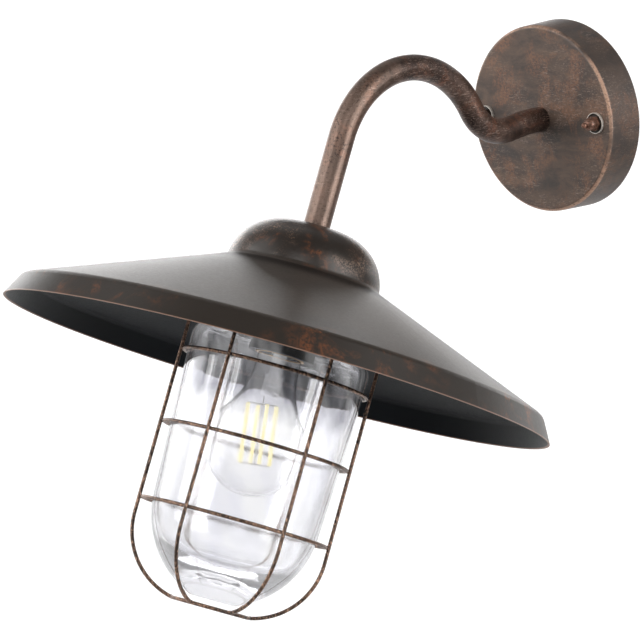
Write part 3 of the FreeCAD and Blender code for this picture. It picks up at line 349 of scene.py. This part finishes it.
def filament_material():
    """Yellow coated rods that look lit."""
    paint = Paint("filament_coat")
    grain = paint.noise(scale=900.0, detail=3.0)
    colour = paint.mix(paint.span(grain, *EVEN), srgb(250, 236, 160), srgb(255, 247, 205))
    return paint.finish(colour, 0.5, 0.0, Emission_Color=colour, Emission_Strength=0.75)


# Glass

def glass_material(name, tint, wave, depth, haze, clear=1.0, glow=0.0, edge=0.0, bend=1.5, painted_grey_share=None):
    """Clear glass that greys towards its edges by the share edge.

    Haze, clear, glow and the painted grey are numbers or functions of the paint; the painted grey is the share of
    grey in the glass, standing in for reflection and shade.
    """
    paint = Paint(name)

    def made(value):
        return value(paint) if callable(value) else value

    ripple = paint.noise(detail=3.0, roughness=0.5, distortion=0.8, vector=paint.mapped(wave))
    paint.bump(ripple, strength=0.25, distance=depth)
    colour = paint.mix(paint.span(ripple, 0.3, 0.7), tint, WHITE)
    slant = paint.add("ShaderNodeLayerWeight")
    slant.inputs["Blend"].default_value = 0.5
    thick = paint.span(slant.outputs["Facing"], 0.35, 0.95)
    colour = paint.mix(paint.times(thick, edge), colour, GLASS_GREY)
    # Painted reflection and shade, greying the glass.
    if painted_grey_share is not None:
        colour = paint.mix(made(painted_grey_share), colour, GLASS_GREY)
    rough = paint.times(paint.noise(scale=90.0, detail=3.0), made(haze))
    return paint.finish(colour, rough, 0.0, Transmission_Weight=made(clear), IOR=bend,
                        Emission_Color=WHITE, Emission_Strength=made(glow))


def thick_foot(paint):
    """The jar's thick base lets a little less light through."""
    return paint.span(paint.head_height(), -0.140, -0.124, start=0.88, stop=0.975)


def soft_middle(paint):
    """The jar's wall is a little hazy, its foot less so and its shoulder hardly."""
    height = paint.head_height()
    below_shoulder = paint.span(height, -0.010, -0.030, stop=0.20)
    above_foot = paint.span(height, -0.118, -0.104, start=0.25)
    return paint.plus(0.03, paint.times(below_shoulder, above_foot))


def painted_reflection_streaks(paint):
    """Painted reflection: grey streaks in the jar's wall just below its shoulder, where the shade's dark inside
    is mirrored, and a cloudy grey foot as painted shade.
    """
    height = paint.head_height()
    ragged_height = paint.plus(height, paint.times(paint.noise(scale=24.0, detail=3.0), 0.020))
    streak = paint.noise(detail=3.0, roughness=0.55, distortion=0.6,
                         vector=paint.mapped((62, 62, 10), (TILT, 0, 0)))
    # Painted reflection of the shade's dark inside, in a ragged band below the shoulder.
    band = paint.times(paint.span(ragged_height, -0.018, -0.006), paint.span(height, 0.006, -0.004))
    # Painted shade: the foot is clouded grey.
    cloud = paint.span(paint.noise(scale=40.0, detail=3.0), *EVEN, start=0.6)
    foot = paint.times(paint.span(height, -0.104, -0.122, stop=0.6), cloud)
    return paint.plus(paint.times(band, paint.span(streak, 0.34, 0.62, start=0.35)), foot)


def painted_glow_veil(paint):
    """Painted light: the glass glows a little as a veil of reflected light, in soft streaks below the shade and a
    paler foot.
    """
    height = paint.head_height()
    streak = paint.noise(detail=2.0, roughness=0.5, distortion=0.4,
                         vector=paint.mapped((70, 70, 9), (TILT, 0, 0)))
    upper = paint.times(paint.span(height, -0.075, -0.02), paint.span(streak, 0.38, 0.62, stop=0.085))
    return paint.plus(upper, paint.span(height, -0.098, -0.122, stop=0.065))


# Turned pieces, in millimetres

def arc(x, z, radius, start, stop, steps):
    """Points of an arc; angles in degrees from +x towards +z, both ends included."""
    points = []
    for index in range(steps + 1):
        angle = math.radians(start + (stop - start) * index / steps)
        points.append((x + radius * math.cos(angle), z + radius * math.sin(angle)))
    return points


def run(start, stop, steps):
    """Points of a straight run, without its first."""
    return [(start[0] + (stop[0] - start[0]) * i / steps, start[1] + (stop[1] - start[1]) * i / steps)
            for i in range(1, steps + 1)]


def spin(mesh, line, turns, place=Matrix.Identity(4), shape=None):
    """One row of points for each (radius, height) of a line; shape may move each point a little."""
    rows = []
    for radius, height in line:
        if radius < ON_AXIS:
            rows.append([mesh.verts.new(place @ Vector((0, 0, height * MM)))])
            continue
        row = []
        for step in range(turns):
            angle = 2 * math.pi * step / turns
            r, h = shape(radius, height, angle) if shape else (radius, height)
            point = Vector((r * MM * math.cos(angle), r * MM * math.sin(angle), h * MM))
            row.append(mesh.verts.new(place @ point))
        rows.append(row)
    return rows


def join_rows(mesh, rows, turns):
    """Faces between each row and the next. A row on the axis has a single point."""
    for low, high in zip(rows, rows[1:]):
        for step in range(turns):
            after = (step + 1) % turns
            corners = [low[step % len(low)], low[after % len(low)], high[after % len(high)],
                       high[step % len(high)]]
            unique = list(dict.fromkeys(corners))
            if len(unique) > 2:
                mesh.faces.new(unique)


def turned(name, line, place, turns, sharp, shape=None):
    """A solid spun from a line that starts and ends on the axis."""
    mesh = bmesh.new()
    join_rows(mesh, spin(mesh, line, turns, shape=shape), turns)
    bmesh.ops.recalc_face_normals(mesh, faces=mesh.faces[:])
    return add_piece(name, mesh, place, sharp)


def add_piece(name, mesh, place, sharp=35):
    """A mesh as an object, smooth except along edges that turn by more than sharp degrees."""
    limit = math.radians(sharp)
    for face in mesh.faces:
        face.smooth = True
    for edge in mesh.edges:
        if len(edge.link_faces) == 2 and edge.calc_face_angle(0) > limit:
            edge.smooth = False
    data = bpy.data.meshes.new(name)
    mesh.to_mesh(data)
    mesh.free()
    data.transform(place)
    piece = bpy.data.objects.new(name, data)
    bpy.context.scene.collection.objects.link(piece)
    return piece


def dress(piece, material, body, slot, *replaced):
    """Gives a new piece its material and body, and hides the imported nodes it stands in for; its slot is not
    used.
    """
    piece.data.materials.clear()
    piece.data.materials.append(material)
    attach(piece, body)
    if replaced:
        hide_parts(*replaced)
    return piece


def head_place(turn, radius, height):
    """A place on the head: turned round its axis, then out from it and up."""
    turned_round = Matrix.Rotation(math.radians(turn), 4, "Z")
    return HEAD @ turned_round @ Matrix.Translation((radius * MM, 0, height * MM))


# The jar, in millimetres: radii from the shade's axis and heights above the rim plane.
# Its side is the radius at the rim plane, and its taper is in degrees.

JAR_SIDE = 53.9
JAR_TAPER = 2.4
JAR_WALL = 4.2
JAR_WALL_TOP = 8.0
JAR_WALL_LOW = -88.0
JAR_BOWL = 57.9
JAR_BASE = 16.0
JAR_FLOOR_ROUND = 30.0
JAR_FLOOR_DISH = 0.8
JAR_SHOULDER = 12.0
JAR_NECK_OUTER = 39.4
JAR_NECK_INNER = 35.2
JAR_NECK_FILLET = 1.2
JAR_LIP_LOW = 36.5
JAR_LIP_TOP = 40.0
JAR_LIP_OUTER = 41.0
JAR_LIP_ROUND = 1.0
JAR_LIP_UNDER_ROUND = 0.8
JAR_FOOT_RADIUS = 12.1
JAR_FOOT_ROUND = 1.4
JAR_FOOT_HOLLOW = 1.2
JAR_HOLLOW_FLAT = 8.4
JAR_HOLLOW_EDGE = 9.6

# How far the glass is off its true shape: everywhere, and more round the shoulder and below the foot's start.
RIPPLE_DEPTH = 0.07
RIPPLE_SHOULDER_DEPTH = 0.30
RIPPLE_SHOULDER_Z = 12
RIPPLE_SHOULDER_REACH = 12
RIPPLE_FOOT_DEPTH = 0.22
RIPPLE_FOOT_LIFT = 0.15
RIPPLE_FOOT_Z = -96
RIPPLE_FOOT_REACH = 20
RIPPLE_FULL_RADIUS = 12


def jar_ripple(radius, height, angle):
    """The slight unevenness of pressed glass, stronger at the shoulder and at the foot."""
    x = math.cos(angle) * radius
    y = math.sin(angle) * radius
    slow = noise.noise(Vector((x, y, height * 0.5)) * 0.045)
    quick = noise.noise(Vector((x * 0.16, y * 0.16, height * 0.05)) + Vector((9, 4, 2)))
    shoulder = max(0.0, 1 - abs(height - RIPPLE_SHOULDER_Z) / RIPPLE_SHOULDER_REACH)
    foot = max(0.0, min(1.0, (RIPPLE_FOOT_Z - height) / RIPPLE_FOOT_REACH))
    depth = RIPPLE_DEPTH + RIPPLE_SHOULDER_DEPTH * shoulder + RIPPLE_FOOT_DEPTH * foot
    fade = min(1.0, radius / RIPPLE_FULL_RADIUS)
    return radius + depth * fade * (slow + 0.6 * quick), height + RIPPLE_FOOT_LIFT * foot * fade * quick


def make_jar():
    """The jar, from the middle of its hollow foot round the outside to its lip, and back down the inside."""
    taper = math.radians(JAR_TAPER)
    level, rise = math.cos(taper), math.sin(taper)
    low = (JAR_SIDE + JAR_WALL_LOW * math.tan(taper), JAR_WALL_LOW)
    top = (JAR_SIDE + JAR_WALL_TOP * math.tan(taper), JAR_WALL_TOP)
    bowl = (low[0] - JAR_BOWL * level, low[1] + JAR_BOWL * rise)
    shoulder = (top[0] - JAR_SHOULDER * level, top[1] + JAR_SHOULDER * rise)
    over = shoulder[1] + JAR_SHOULDER
    foot_edge = JAR_FOOT_RADIUS + JAR_FOOT_ROUND
    foot_angle = -math.degrees(math.acos((foot_edge - bowl[0]) / JAR_BOWL))
    foot_z = bowl[1] + JAR_BOWL * math.sin(math.radians(foot_angle))
    hollow_z = foot_z + JAR_FOOT_HOLLOW
    floor_z = foot_z + JAR_BASE
    inner = JAR_BOWL - JAR_WALL
    corner_z = floor_z + JAR_FLOOR_ROUND
    corner_x = bowl[0] + math.sqrt((inner - JAR_FLOOR_ROUND) ** 2 - (corner_z - bowl[1]) ** 2)
    corner_angle = math.degrees(math.atan2(corner_z - bowl[1], corner_x - bowl[0]))
    fillet_x, fillet_z = JAR_NECK_OUTER + JAR_NECK_FILLET, over + JAR_NECK_FILLET
    under = JAR_LIP_UNDER_ROUND
    lip_z = JAR_LIP_TOP - JAR_LIP_ROUND

    line = [(0, hollow_z)] + run((0, hollow_z), (JAR_HOLLOW_FLAT, hollow_z - 0.3), 8)
    line += [(JAR_HOLLOW_EDGE, foot_z + 0.1)]
    line += arc(JAR_FOOT_RADIUS, foot_z + JAR_FOOT_ROUND, JAR_FOOT_ROUND, -90, foot_angle, 4)
    line += arc(*bowl, JAR_BOWL, foot_angle + 1, -JAR_TAPER, 30)
    line += run(low, top, 40)
    line += arc(*shoulder, JAR_SHOULDER, -JAR_TAPER, 90, 14)[1:]
    line += [(fillet_x, over)] + arc(fillet_x, fillet_z, JAR_NECK_FILLET, -90, -180, 4)[1:]
    line += run((JAR_NECK_OUTER, fillet_z), (JAR_NECK_OUTER, JAR_LIP_LOW), 6)
    line += arc(JAR_LIP_OUTER - under, JAR_LIP_LOW + under, under, -90, 0, 3)
    line += arc(JAR_LIP_OUTER - JAR_LIP_ROUND, lip_z, JAR_LIP_ROUND, 0, 90, 4)
    line += arc(JAR_NECK_INNER + JAR_LIP_ROUND, lip_z, JAR_LIP_ROUND, 90, 180, 4)
    line += run((JAR_NECK_INNER, lip_z), (JAR_NECK_INNER, over - JAR_WALL), 8)
    line += arc(*shoulder, JAR_SHOULDER - JAR_WALL, 90, -JAR_TAPER, 10)[1:]
    inner_low = (low[0] - JAR_WALL * level, low[1] + JAR_WALL * rise)
    inner_top = (top[0] - JAR_WALL * level, top[1] + JAR_WALL * rise)
    line += run(inner_top, inner_low, 40)
    line += arc(*bowl, inner, -JAR_TAPER, corner_angle, 24)[1:]
    line += arc(corner_x, corner_z, JAR_FLOOR_ROUND, corner_angle, -90, 24)[1:]
    for step in range(1, 9):
        out = 1 - step / 8
        line.append((corner_x * out, floor_z - JAR_FLOOR_DISH * (1 - out ** 2)))
    return turned("jar_glass", line, HEAD, turns=160, sharp=60, shape=jar_ripple)


# The bulb's envelope, in millimetres: radii, heights above the rim plane, and its wall

BULB_BALL = 30.0
BULB_BALL_Z = -45.5
BULB_NECK = 13.4
BULB_NECK_LOW = 3.0
BULB_NECK_TOP = 8.0
BULB_RIM = 12.65
BULB_RIM_LOW = 9.5
BULB_RIM_TOP = 19.5
BULB_WALL = 0.8


def make_bulb_envelope():
    """A ball and a hollow flank up to a straight neck, as a thin skin with an outside and an inside."""
    rise = BULB_NECK_LOW - BULB_BALL_Z
    spread = BULB_BALL - BULB_NECK
    flank = (rise ** 2 - spread * (BULB_BALL + BULB_NECK)) / (2 * spread)
    meet = math.degrees(math.atan2(rise, BULB_NECK + flank))
    skins = []
    for wall in (0.0, BULB_WALL):
        rim, neck, ball = BULB_RIM - wall, BULB_NECK - wall, BULB_BALL - wall
        skin = [(rim, BULB_RIM_TOP)] + run((rim, BULB_RIM_TOP), (rim, BULB_RIM_LOW), 4)
        skin += [(neck, BULB_NECK_TOP)] + run((neck, BULB_NECK_TOP), (neck, BULB_NECK_LOW), 3)
        skin += arc(BULB_NECK + flank, BULB_NECK_LOW, flank + wall, 180, 180 + meet, 20)[1:]
        skin += arc(0, BULB_BALL_Z, ball, meet, -90, 48)[1:-1] + [(0, BULB_BALL_Z - ball)]
        skins.append(skin)
    outside, inside = skins
    return turned("bulb_envelope", outside[::-1] + inside, HEAD, turns=128, sharp=60)


# Screws: lengths in millimetres, and turns round the shade's axis in degrees

THUMB_TURN = 77.9
THUMB_HEIGHT = 34
THUMB_TIP = 39.7
THUMB_SEAT = 51.2
THUMB_HEAD = 5.0
THUMB_TEETH = 28
TOOTH_DEPTH = 0.45
THUMB_GROOVES = 14
THUMB_PITCH = 0.75
THUMB_GROOVE_DEPTH = 0.28
SHANK = 2.0
SCREW_PITCH = 0.7
SCREW_GROOVE_DEPTH = 0.26
PAN_RADIUS = 3.5
PAN_HEIGHT = 2.4
PAN_ROUND = 1.1
CROSS_REACH = 1.9
CROSS_HALF_WIDTH = 0.42
CROSS_FLOOR = 1.25
CAGE_SCREW_RADIUS = 59.4
CAGE_SCREW_HEIGHT = 25.5
CAGE_SCREW_LENGTH = 6.0
STUD_SEAT = 5
STUD_LENGTH = 27.0


def knurled(radius, height, angle):
    """Fine teeth round the widest part of a thumbscrew's head."""
    if radius < THUMB_HEAD - 0.4:
        return radius, height
    wave = abs((angle * THUMB_TEETH / (2 * math.pi)) % 1.0 - 0.5) * 2
    return radius - TOOTH_DEPTH * wave, height


def make_thumbscrew(number):
    """A screw along Z, away from the shade's axis, with a grooved shank and a knurled head."""
    place = head_place(THUMB_TURN + 120 * number, 0, THUMB_HEIGHT) @ Matrix.Rotation(math.pi / 2, 4, "Y")
    root = SHANK - THUMB_GROOVE_DEPTH
    line = [(0, THUMB_TIP), (1.5, THUMB_TIP), (SHANK, THUMB_TIP + 0.5)]
    for step in range(THUMB_GROOVES):
        low = THUMB_TIP + 0.9 + step * THUMB_PITCH
        line += [(SHANK, low), (root, low + 0.25), (root, low + 0.35), (SHANK, low + 0.6)]
    head = [(SHANK, 0), (4.0, 0), (4.55, 0.55), (THUMB_HEAD, 1.0), (THUMB_HEAD, 3.0), (THUMB_HEAD, 5.0),
            (4.55, 5.45), (4.0, 6.0), (3.2, 6.0), (2.6, 5.7), (0, 5.7)]
    line += [(radius, THUMB_SEAT + height) for radius, height in head]
    return turned("thumbscrew_%d" % (number + 1), line, place, THUMB_TEETH * 4, 30, knurled)


def add_screw(mesh, place, length):
    """A pan-head screw along +Z from its head's seat at 0, with a cross sunk in the head."""
    turns = 32
    root = SHANK - SCREW_GROOVE_DEPTH
    line = [(0, length), (1.5, length), (SHANK, length - 0.5)]
    for step in range(int((length - 2.0) / SCREW_PITCH)):
        high = length - SCREW_PITCH * (step + 1)
        line += [(SHANK, high), (root, high - 0.22), (root, high - 0.32), (SHANK, high - 0.54)]
    line += [(SHANK, 0), (PAN_RADIUS - 0.2, 0), (PAN_RADIUS, -0.2)]
    line += arc(PAN_RADIUS - PAN_ROUND, PAN_ROUND - PAN_HEIGHT, PAN_ROUND, 0, -90, 5)
    rows = spin(mesh, line, turns, place)
    join_rows(mesh, rows, turns)

    top, deep, a, b = -PAN_HEIGHT, -CROSS_FLOOR, CROSS_REACH, CROSS_HALF_WIDTH
    outline = [(a, b), (b, b), (b, a), (-b, a), (-b, b), (-a, b), (-a, -b), (-b, -b), (-b, -a), (b, -a),
               (b, -b), (a, -b)]
    upper = [mesh.verts.new(place @ Vector((x * MM, y * MM, top * MM))) for x, y in outline]
    lower = [mesh.verts.new(place @ Vector((x * MM, y * MM, deep * MM))) for x, y in outline]
    count = len(outline)
    for step in range(count):
        after = (step + 1) % count
        mesh.faces.new((upper[step], upper[after], lower[after], lower[step]))
    mesh.faces.new(lower)
    edges = [mesh.edges.get((upper[i], upper[(i + 1) % count])) for i in range(count)]
    outer = rows[-1]
    edges += [mesh.edges.get((outer[i], outer[(i + 1) % turns])) for i in range(turns)]
    bmesh.ops.triangle_fill(mesh, edges=edges, use_beauty=True)


def screws(name, places, length):
    """Screws of one length, as one piece."""
    mesh = bmesh.new()
    for place in places:
        add_screw(mesh, place, length)
    bmesh.ops.recalc_face_normals(mesh, faces=mesh.faces[:])
    return add_piece(name, mesh, Matrix.Identity(4), 30)


# The cage's weld beads: radius, height and bead size for each ring, from the top down, in millimetres

CAGE_TURN = -12.1
CAGE_WIRES = 6
RING_BEAD = Vector((1.25, 2.1, 1.25))
END_BEAD = Vector((1.15, 1.9, 1.15))
RING_CROSSINGS = [(56.8, -1.3, RING_BEAD), (56.8, -45.5, RING_BEAD), (56.8, -92.0, RING_BEAD),
                  (24.0, -143.6, END_BEAD)]


def make_weld_beads():
    """A small uneven bead of weld where each wire meets each ring."""
    mesh = bmesh.new()
    for wire in range(CAGE_WIRES):
        for order, (radius, height, size) in enumerate(RING_CROSSINGS):
            place = head_place(CAGE_TURN + 360 / CAGE_WIRES * wire, radius, height)
            made = bmesh.ops.create_icosphere(mesh, subdivisions=3, radius=1.0)
            for vertex in made["verts"]:
                point = vertex.co.normalized()
                bump = 1 + 0.16 * noise.noise(point * 1.6 + Vector((wire * 7, order * 5, 3)))
                vertex.co = place @ (point * size * bump * MM)
    return add_piece("weld_beads", mesh, Matrix.Identity(4), 60)


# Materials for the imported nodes

CANOPY = patina("canopy_skin", dark=srgb(64, 56, 52), mid=srgb(96, 78, 66), copper=srgb(140, 96, 70),
                strokes=(34, 34, 80), patch=0.62, speck=0.55, roughness=0.50, metallic=0.20, wear_and_painted_light=canopy_wear_and_shade)
ARM = patina("arm_skin", dark=srgb(48, 37, 33), mid=srgb(92, 73, 64), copper=srgb(140, 92, 70),
             strokes=(60, 60, 34), patch=0.60, speck=0.70, roughness=0.40, metallic=0.60, wear_and_painted_light=arm_painted_highlight,
             fine=1000.0)
NUT = patina("nut_skin", dark=srgb(66, 48, 41), mid=srgb(104, 74, 60), copper=srgb(160, 112, 90),
             strokes=(300, 300, 300), patch=0.7, speck=0.5, roughness=0.34, metallic=0.50, fine=1600.0)
STEEL = cast_metal("zinc_steel", srgb(140, 140, 138), srgb(176, 176, 172), roughness=0.35, metallic=0.9)
HOLDER = cast_metal("holder_black", srgb(26, 27, 29), srgb(40, 41, 44), roughness=0.42, metallic=0.2)
BRASS = cast_metal("lamp_brass", srgb(176, 134, 74), srgb(206, 164, 98), roughness=0.30, metallic=0.95)
BULB_METAL = cast_metal("bulb_metal", srgb(186, 184, 178), srgb(214, 212, 206), roughness=0.25, metallic=0.95)
GREEN = cast_metal("ground_green", srgb(22, 92, 42), srgb(34, 118, 58), roughness=0.4, metallic=0.3)
FRAME_WIRE = cast_metal("frame_wire", srgb(222, 220, 214), srgb(242, 240, 236), roughness=0.5, metallic=0.1)
CAGE = cage_material()
JAR = glass_material("jar_clear", srgb(248, 248, 252), wave=(60, 60, 16), depth=0.0003, haze=soft_middle,
                     clear=thick_foot, glow=painted_glow_veil, edge=0.9, painted_grey_share=painted_reflection_streaks)
BULB = glass_material("bulb_clear", srgb(255, 255, 255), wave=(40, 40, 40), depth=0.0001, haze=0.02,
                      edge=0.08, bend=1.2)
# The stem glows a little, as painted light.
STEM = glass_material("stem_clear", srgb(240, 240, 240), wave=(300, 300, 150), depth=0.0004, haze=0.08,
                      clear=0.95, glow=0.10)

SKINS = {
    "canopy_patina": CANOPY, "arm_patina": ARM, "nut_patina": NUT, "cage_patina": CAGE, "jar_glass": JAR,
    "bulb_glass": BULB, "brass": BRASS, "steel": STEEL, "ground_green": GREEN, "bulb_metal": BULB_METAL,
    "holder_paint": HOLDER,
    "shade_patina": shade_material(),
    "washer_patina": washer_material(),
    "filament": filament_material(),
    "phenolic": dull("phenolic", srgb(24, 23, 23), srgb(36, 34, 33), 0.5),
    "rubber": dull("rubber", srgb(26, 26, 27), srgb(38, 38, 39), 0.8),
    "lead_black": dull("lead_black_skin", srgb(22, 22, 24), srgb(34, 34, 36), 0.45),
    "lead_white": dull("lead_white_skin", srgb(214, 212, 206), srgb(232, 230, 226), 0.45),
}
OWN_SKINS = {"bulb_stem": STEM, "filament_frame": FRAME_WIRE}
slot_of = {entry["node"]: entry["material_slot"] for entry in frame["record"]["subparts"]}
for label, slot in slot_of.items():
    skins = nodes[label].data.materials
    skins.clear()
    skins.append(OWN_SKINS.get(label, SKINS[slot]))

dress(make_jar(), JAR, "lamp", "jar_glass", "glass_jar")
dress(make_bulb_envelope(), BULB, "bulb", "bulb_glass", "bulb_glass")
dress(make_weld_beads(), CAGE, "lamp", "cage_patina")
for number in range(3):
    label = "glass_screw_%d" % (number + 1)
    dress(make_thumbscrew(number), SKINS[slot_of[label]], label, slot_of[label], label)
cage_places = [head_place(THUMB_TURN + 60 + 120 * i, CAGE_SCREW_RADIUS, CAGE_SCREW_HEIGHT) for i in range(3)]
dress(screws("cage_cross_screws", cage_places, CAGE_SCREW_LENGTH), SKINS[slot_of["cage_screws"]], "lamp",
      slot_of["cage_screws"], "cage_screws")
stud_places = [WALL @ Matrix.Translation((x, 0, STUD_SEAT * MM)) for x in (-STUD_X, STUD_X)]
dress(screws("canopy_cross_studs", stud_places, STUD_LENGTH), SKINS[slot_of["canopy_studs"]], "lamp",
      slot_of["canopy_studs"], "canopy_studs")

# Floor, light and camera

CAMERA_AZIMUTH = math.radians(48.36)
CAMERA_HEIGHT = math.radians(12.11)
CAMERA_ROLL = math.radians(-4.57)
CAMERA_PLACE = (1.2216, -1.3133, 0.2601)
FOCAL_PIXELS = 2794.0
PHOTO_PIXELS = 640
SENSOR_WIDTH = 36.0
VIEW_REACH = 60.0
RIGHT = Vector((math.cos(CAMERA_AZIMUTH), math.sin(CAMERA_AZIMUTH), 0))
LEVEL = Vector((math.sin(CAMERA_AZIMUTH), -math.cos(CAMERA_AZIMUTH), 0))
BACK = LEVEL * math.cos(CAMERA_HEIGHT) + Vector((0, 0, math.sin(CAMERA_HEIGHT)))
MIDDLE = Vector((0, -0.20, -0.08))

FLOOR_Z = -2.6
FLOOR_SIZE = 14.0
MATT = 0.9
WORLD_STRENGTH = 0.10

# The backdrop is an arc about its turn, in steps, with its glow rising from the lower value to the higher one.
BACKDROP_TURN = 190
BACKDROP_STEP = 5
BACKDROP_STEPS_EACH_WAY = 17
BACKDROP_AWAY = 3.2
BACKDROP_TOP = 1.0
BACKDROP_GLOW = (0.30, 3.2)
GLOW_RISE_HEIGHT = (-0.30, -0.04)
END_FADE = (0.26, 0.64)
END_GREY = (0.15, 0.15, 0.15, 1)
# Its glow has a notch in it, and is weaker at the left.
NOTCH_TURN = 154
NOTCH_HALF_WIDTH = (0.99, 0.63)
NOTCH_HEIGHT = (0.0, 0.30)
NOTCH_DEPTH = 0.95
LEFT_DISTANCE = (1.1, 2.2)
LEFT_GLOW = 0.55

LIGHT_AWAY = 3.0
LIGHT_SIZE = 1.2
# Soft lights round the lamp: turn from the camera's side, height and power.
SOFT_LIGHTS = [(-160, 30, 4.7), (-100, 30, 19), (180, 55, 3.2), (150, 42, 2.8), (-100, 55, 7.3),
               (80, 10, 9), (-80, 10, 14), (0, 40, 15), (60, 30, 24), (55, 0, 46), (-50, 5, 24), (-60, 33, 30)]


def towards(turn, height):
    """A direction, given by its turn from the camera's side and its height in degrees."""
    turn, height = math.radians(turn), math.radians(height)
    flat = LEVEL * math.cos(turn) + RIGHT * math.sin(turn)
    return flat * math.cos(height) + Vector((0, 0, math.sin(height)))


def pale_skin(paint):
    cloud = paint.span(paint.noise(scale=3.0, detail=2.0), 0.3, 0.7)
    return paint.mix(cloud, (0.86, 0.86, 0.86, 1), (0.89, 0.89, 0.89, 1))


def floor_skin():
    paint = Paint("studio_floor_skin")
    return paint.finish(pale_skin(paint), MATT, 0.0, Specular_IOR_Level=0.0)


def backdrop_skin():
    """Matt and pale in its middle, grey at its ends, and glowing more in its upper part."""
    paint = Paint("studio_backdrop_skin")
    low, high = BACKDROP_GLOW
    height = paint.along((0, 0, 1))
    aside = paint.math("ABSOLUTE", paint.along(towards(NOTCH_TURN + 90, 0), MIDDLE))
    leftward = paint.along(towards(-90, 0), MIDDLE)
    fade = paint.span(paint.along(towards(BACKDROP_TURN, 0) / BACKDROP_AWAY, MIDDLE), *END_FADE)
    notch = paint.times(paint.span(aside, *NOTCH_HALF_WIDTH, stop=NOTCH_DEPTH), paint.span(height, *NOTCH_HEIGHT))
    share = paint.times(paint.span(height, *GLOW_RISE_HEIGHT), paint.minus(1.0, notch),
                        paint.span(leftward, *LEFT_DISTANCE, start=1.0, stop=LEFT_GLOW))
    glow = paint.plus(low, paint.times(share, high - low))
    return paint.finish(paint.mix(fade, END_GREY, pale_skin(paint)), MATT, 0.0, Specular_IOR_Level=0.0,
                        Emission_Color=WHITE, Emission_Strength=paint.times(glow, fade))


def make_floor():
    mesh = bmesh.new()
    bmesh.ops.create_grid(mesh, x_segments=8, y_segments=8, size=FLOOR_SIZE)
    floor = add_piece("studio_floor", mesh, Matrix.Translation((0, 0, FLOOR_Z)))
    floor.data.materials.append(floor_skin())


def make_backdrop():
    """A bright curved wall behind the lamp, low enough to leave the studio's upper part dim."""
    mesh = bmesh.new()
    rows = []
    for step in range(-BACKDROP_STEPS_EACH_WAY, BACKDROP_STEPS_EACH_WAY + 1):
        foot = MIDDLE + towards(BACKDROP_TURN + BACKDROP_STEP * step, 0) * BACKDROP_AWAY
        rows.append([mesh.verts.new((foot.x, foot.y, z)) for z in (FLOOR_Z, MIDDLE.z + BACKDROP_TOP)])
    for before, after in zip(rows, rows[1:]):
        mesh.faces.new((before[0], after[0], after[1], before[1]))
    backdrop = add_piece("studio_backdrop", mesh, Matrix.Identity(4))
    backdrop.data.materials.append(backdrop_skin())


def make_light(name, turn, height, power):
    """A soft square light that looks at the lamp's middle."""
    light = bpy.data.lights.new(name, "AREA")
    light.shape = "SQUARE"
    light.size = LIGHT_SIZE
    light.energy = power
    lamp = bpy.data.objects.new(name, light)
    away = towards(turn, height) * LIGHT_AWAY
    lamp.location = MIDDLE + away
    lamp.rotation_euler = (-away).to_track_quat("-Z", "Y").to_euler()
    bpy.context.scene.collection.objects.link(lamp)


def make_world():
    """An even surround, much dimmer than the backdrop."""
    world = bpy.data.worlds.new("studio")
    bpy.context.scene.world = world
    world.use_nodes = True
    surround = world.node_tree.nodes["Background"]
    surround.inputs["Color"].default_value = WHITE
    surround.inputs["Strength"].default_value = WORLD_STRENGTH


def make_camera():
    """The photo's camera, as fitted to it when the lamp was measured."""
    upright = BACK.cross(RIGHT)
    right = RIGHT * math.cos(CAMERA_ROLL) + upright * math.sin(CAMERA_ROLL)
    up = BACK.cross(right)
    turn = Matrix((right, up, BACK)).transposed().to_4x4()
    data = bpy.data.cameras.new("photo_camera")
    data.sensor_fit = "HORIZONTAL"
    data.sensor_width = SENSOR_WIDTH
    data.lens = FOCAL_PIXELS / PHOTO_PIXELS * SENSOR_WIDTH
    data.clip_end = VIEW_REACH
    camera = bpy.data.objects.new("photo_camera", data)
    camera.matrix_world = Matrix.Translation(CAMERA_PLACE) @ turn
    bpy.context.scene.collection.objects.link(camera)
    bpy.context.scene.camera = camera


make_floor()
make_backdrop()
for index, (turn, height, power) in enumerate(SOFT_LIGHTS):
    make_light("soft_%d" % index, turn, height, power)
make_world()
make_camera()
bpy.context.scene.view_settings.view_transform = "Standard"
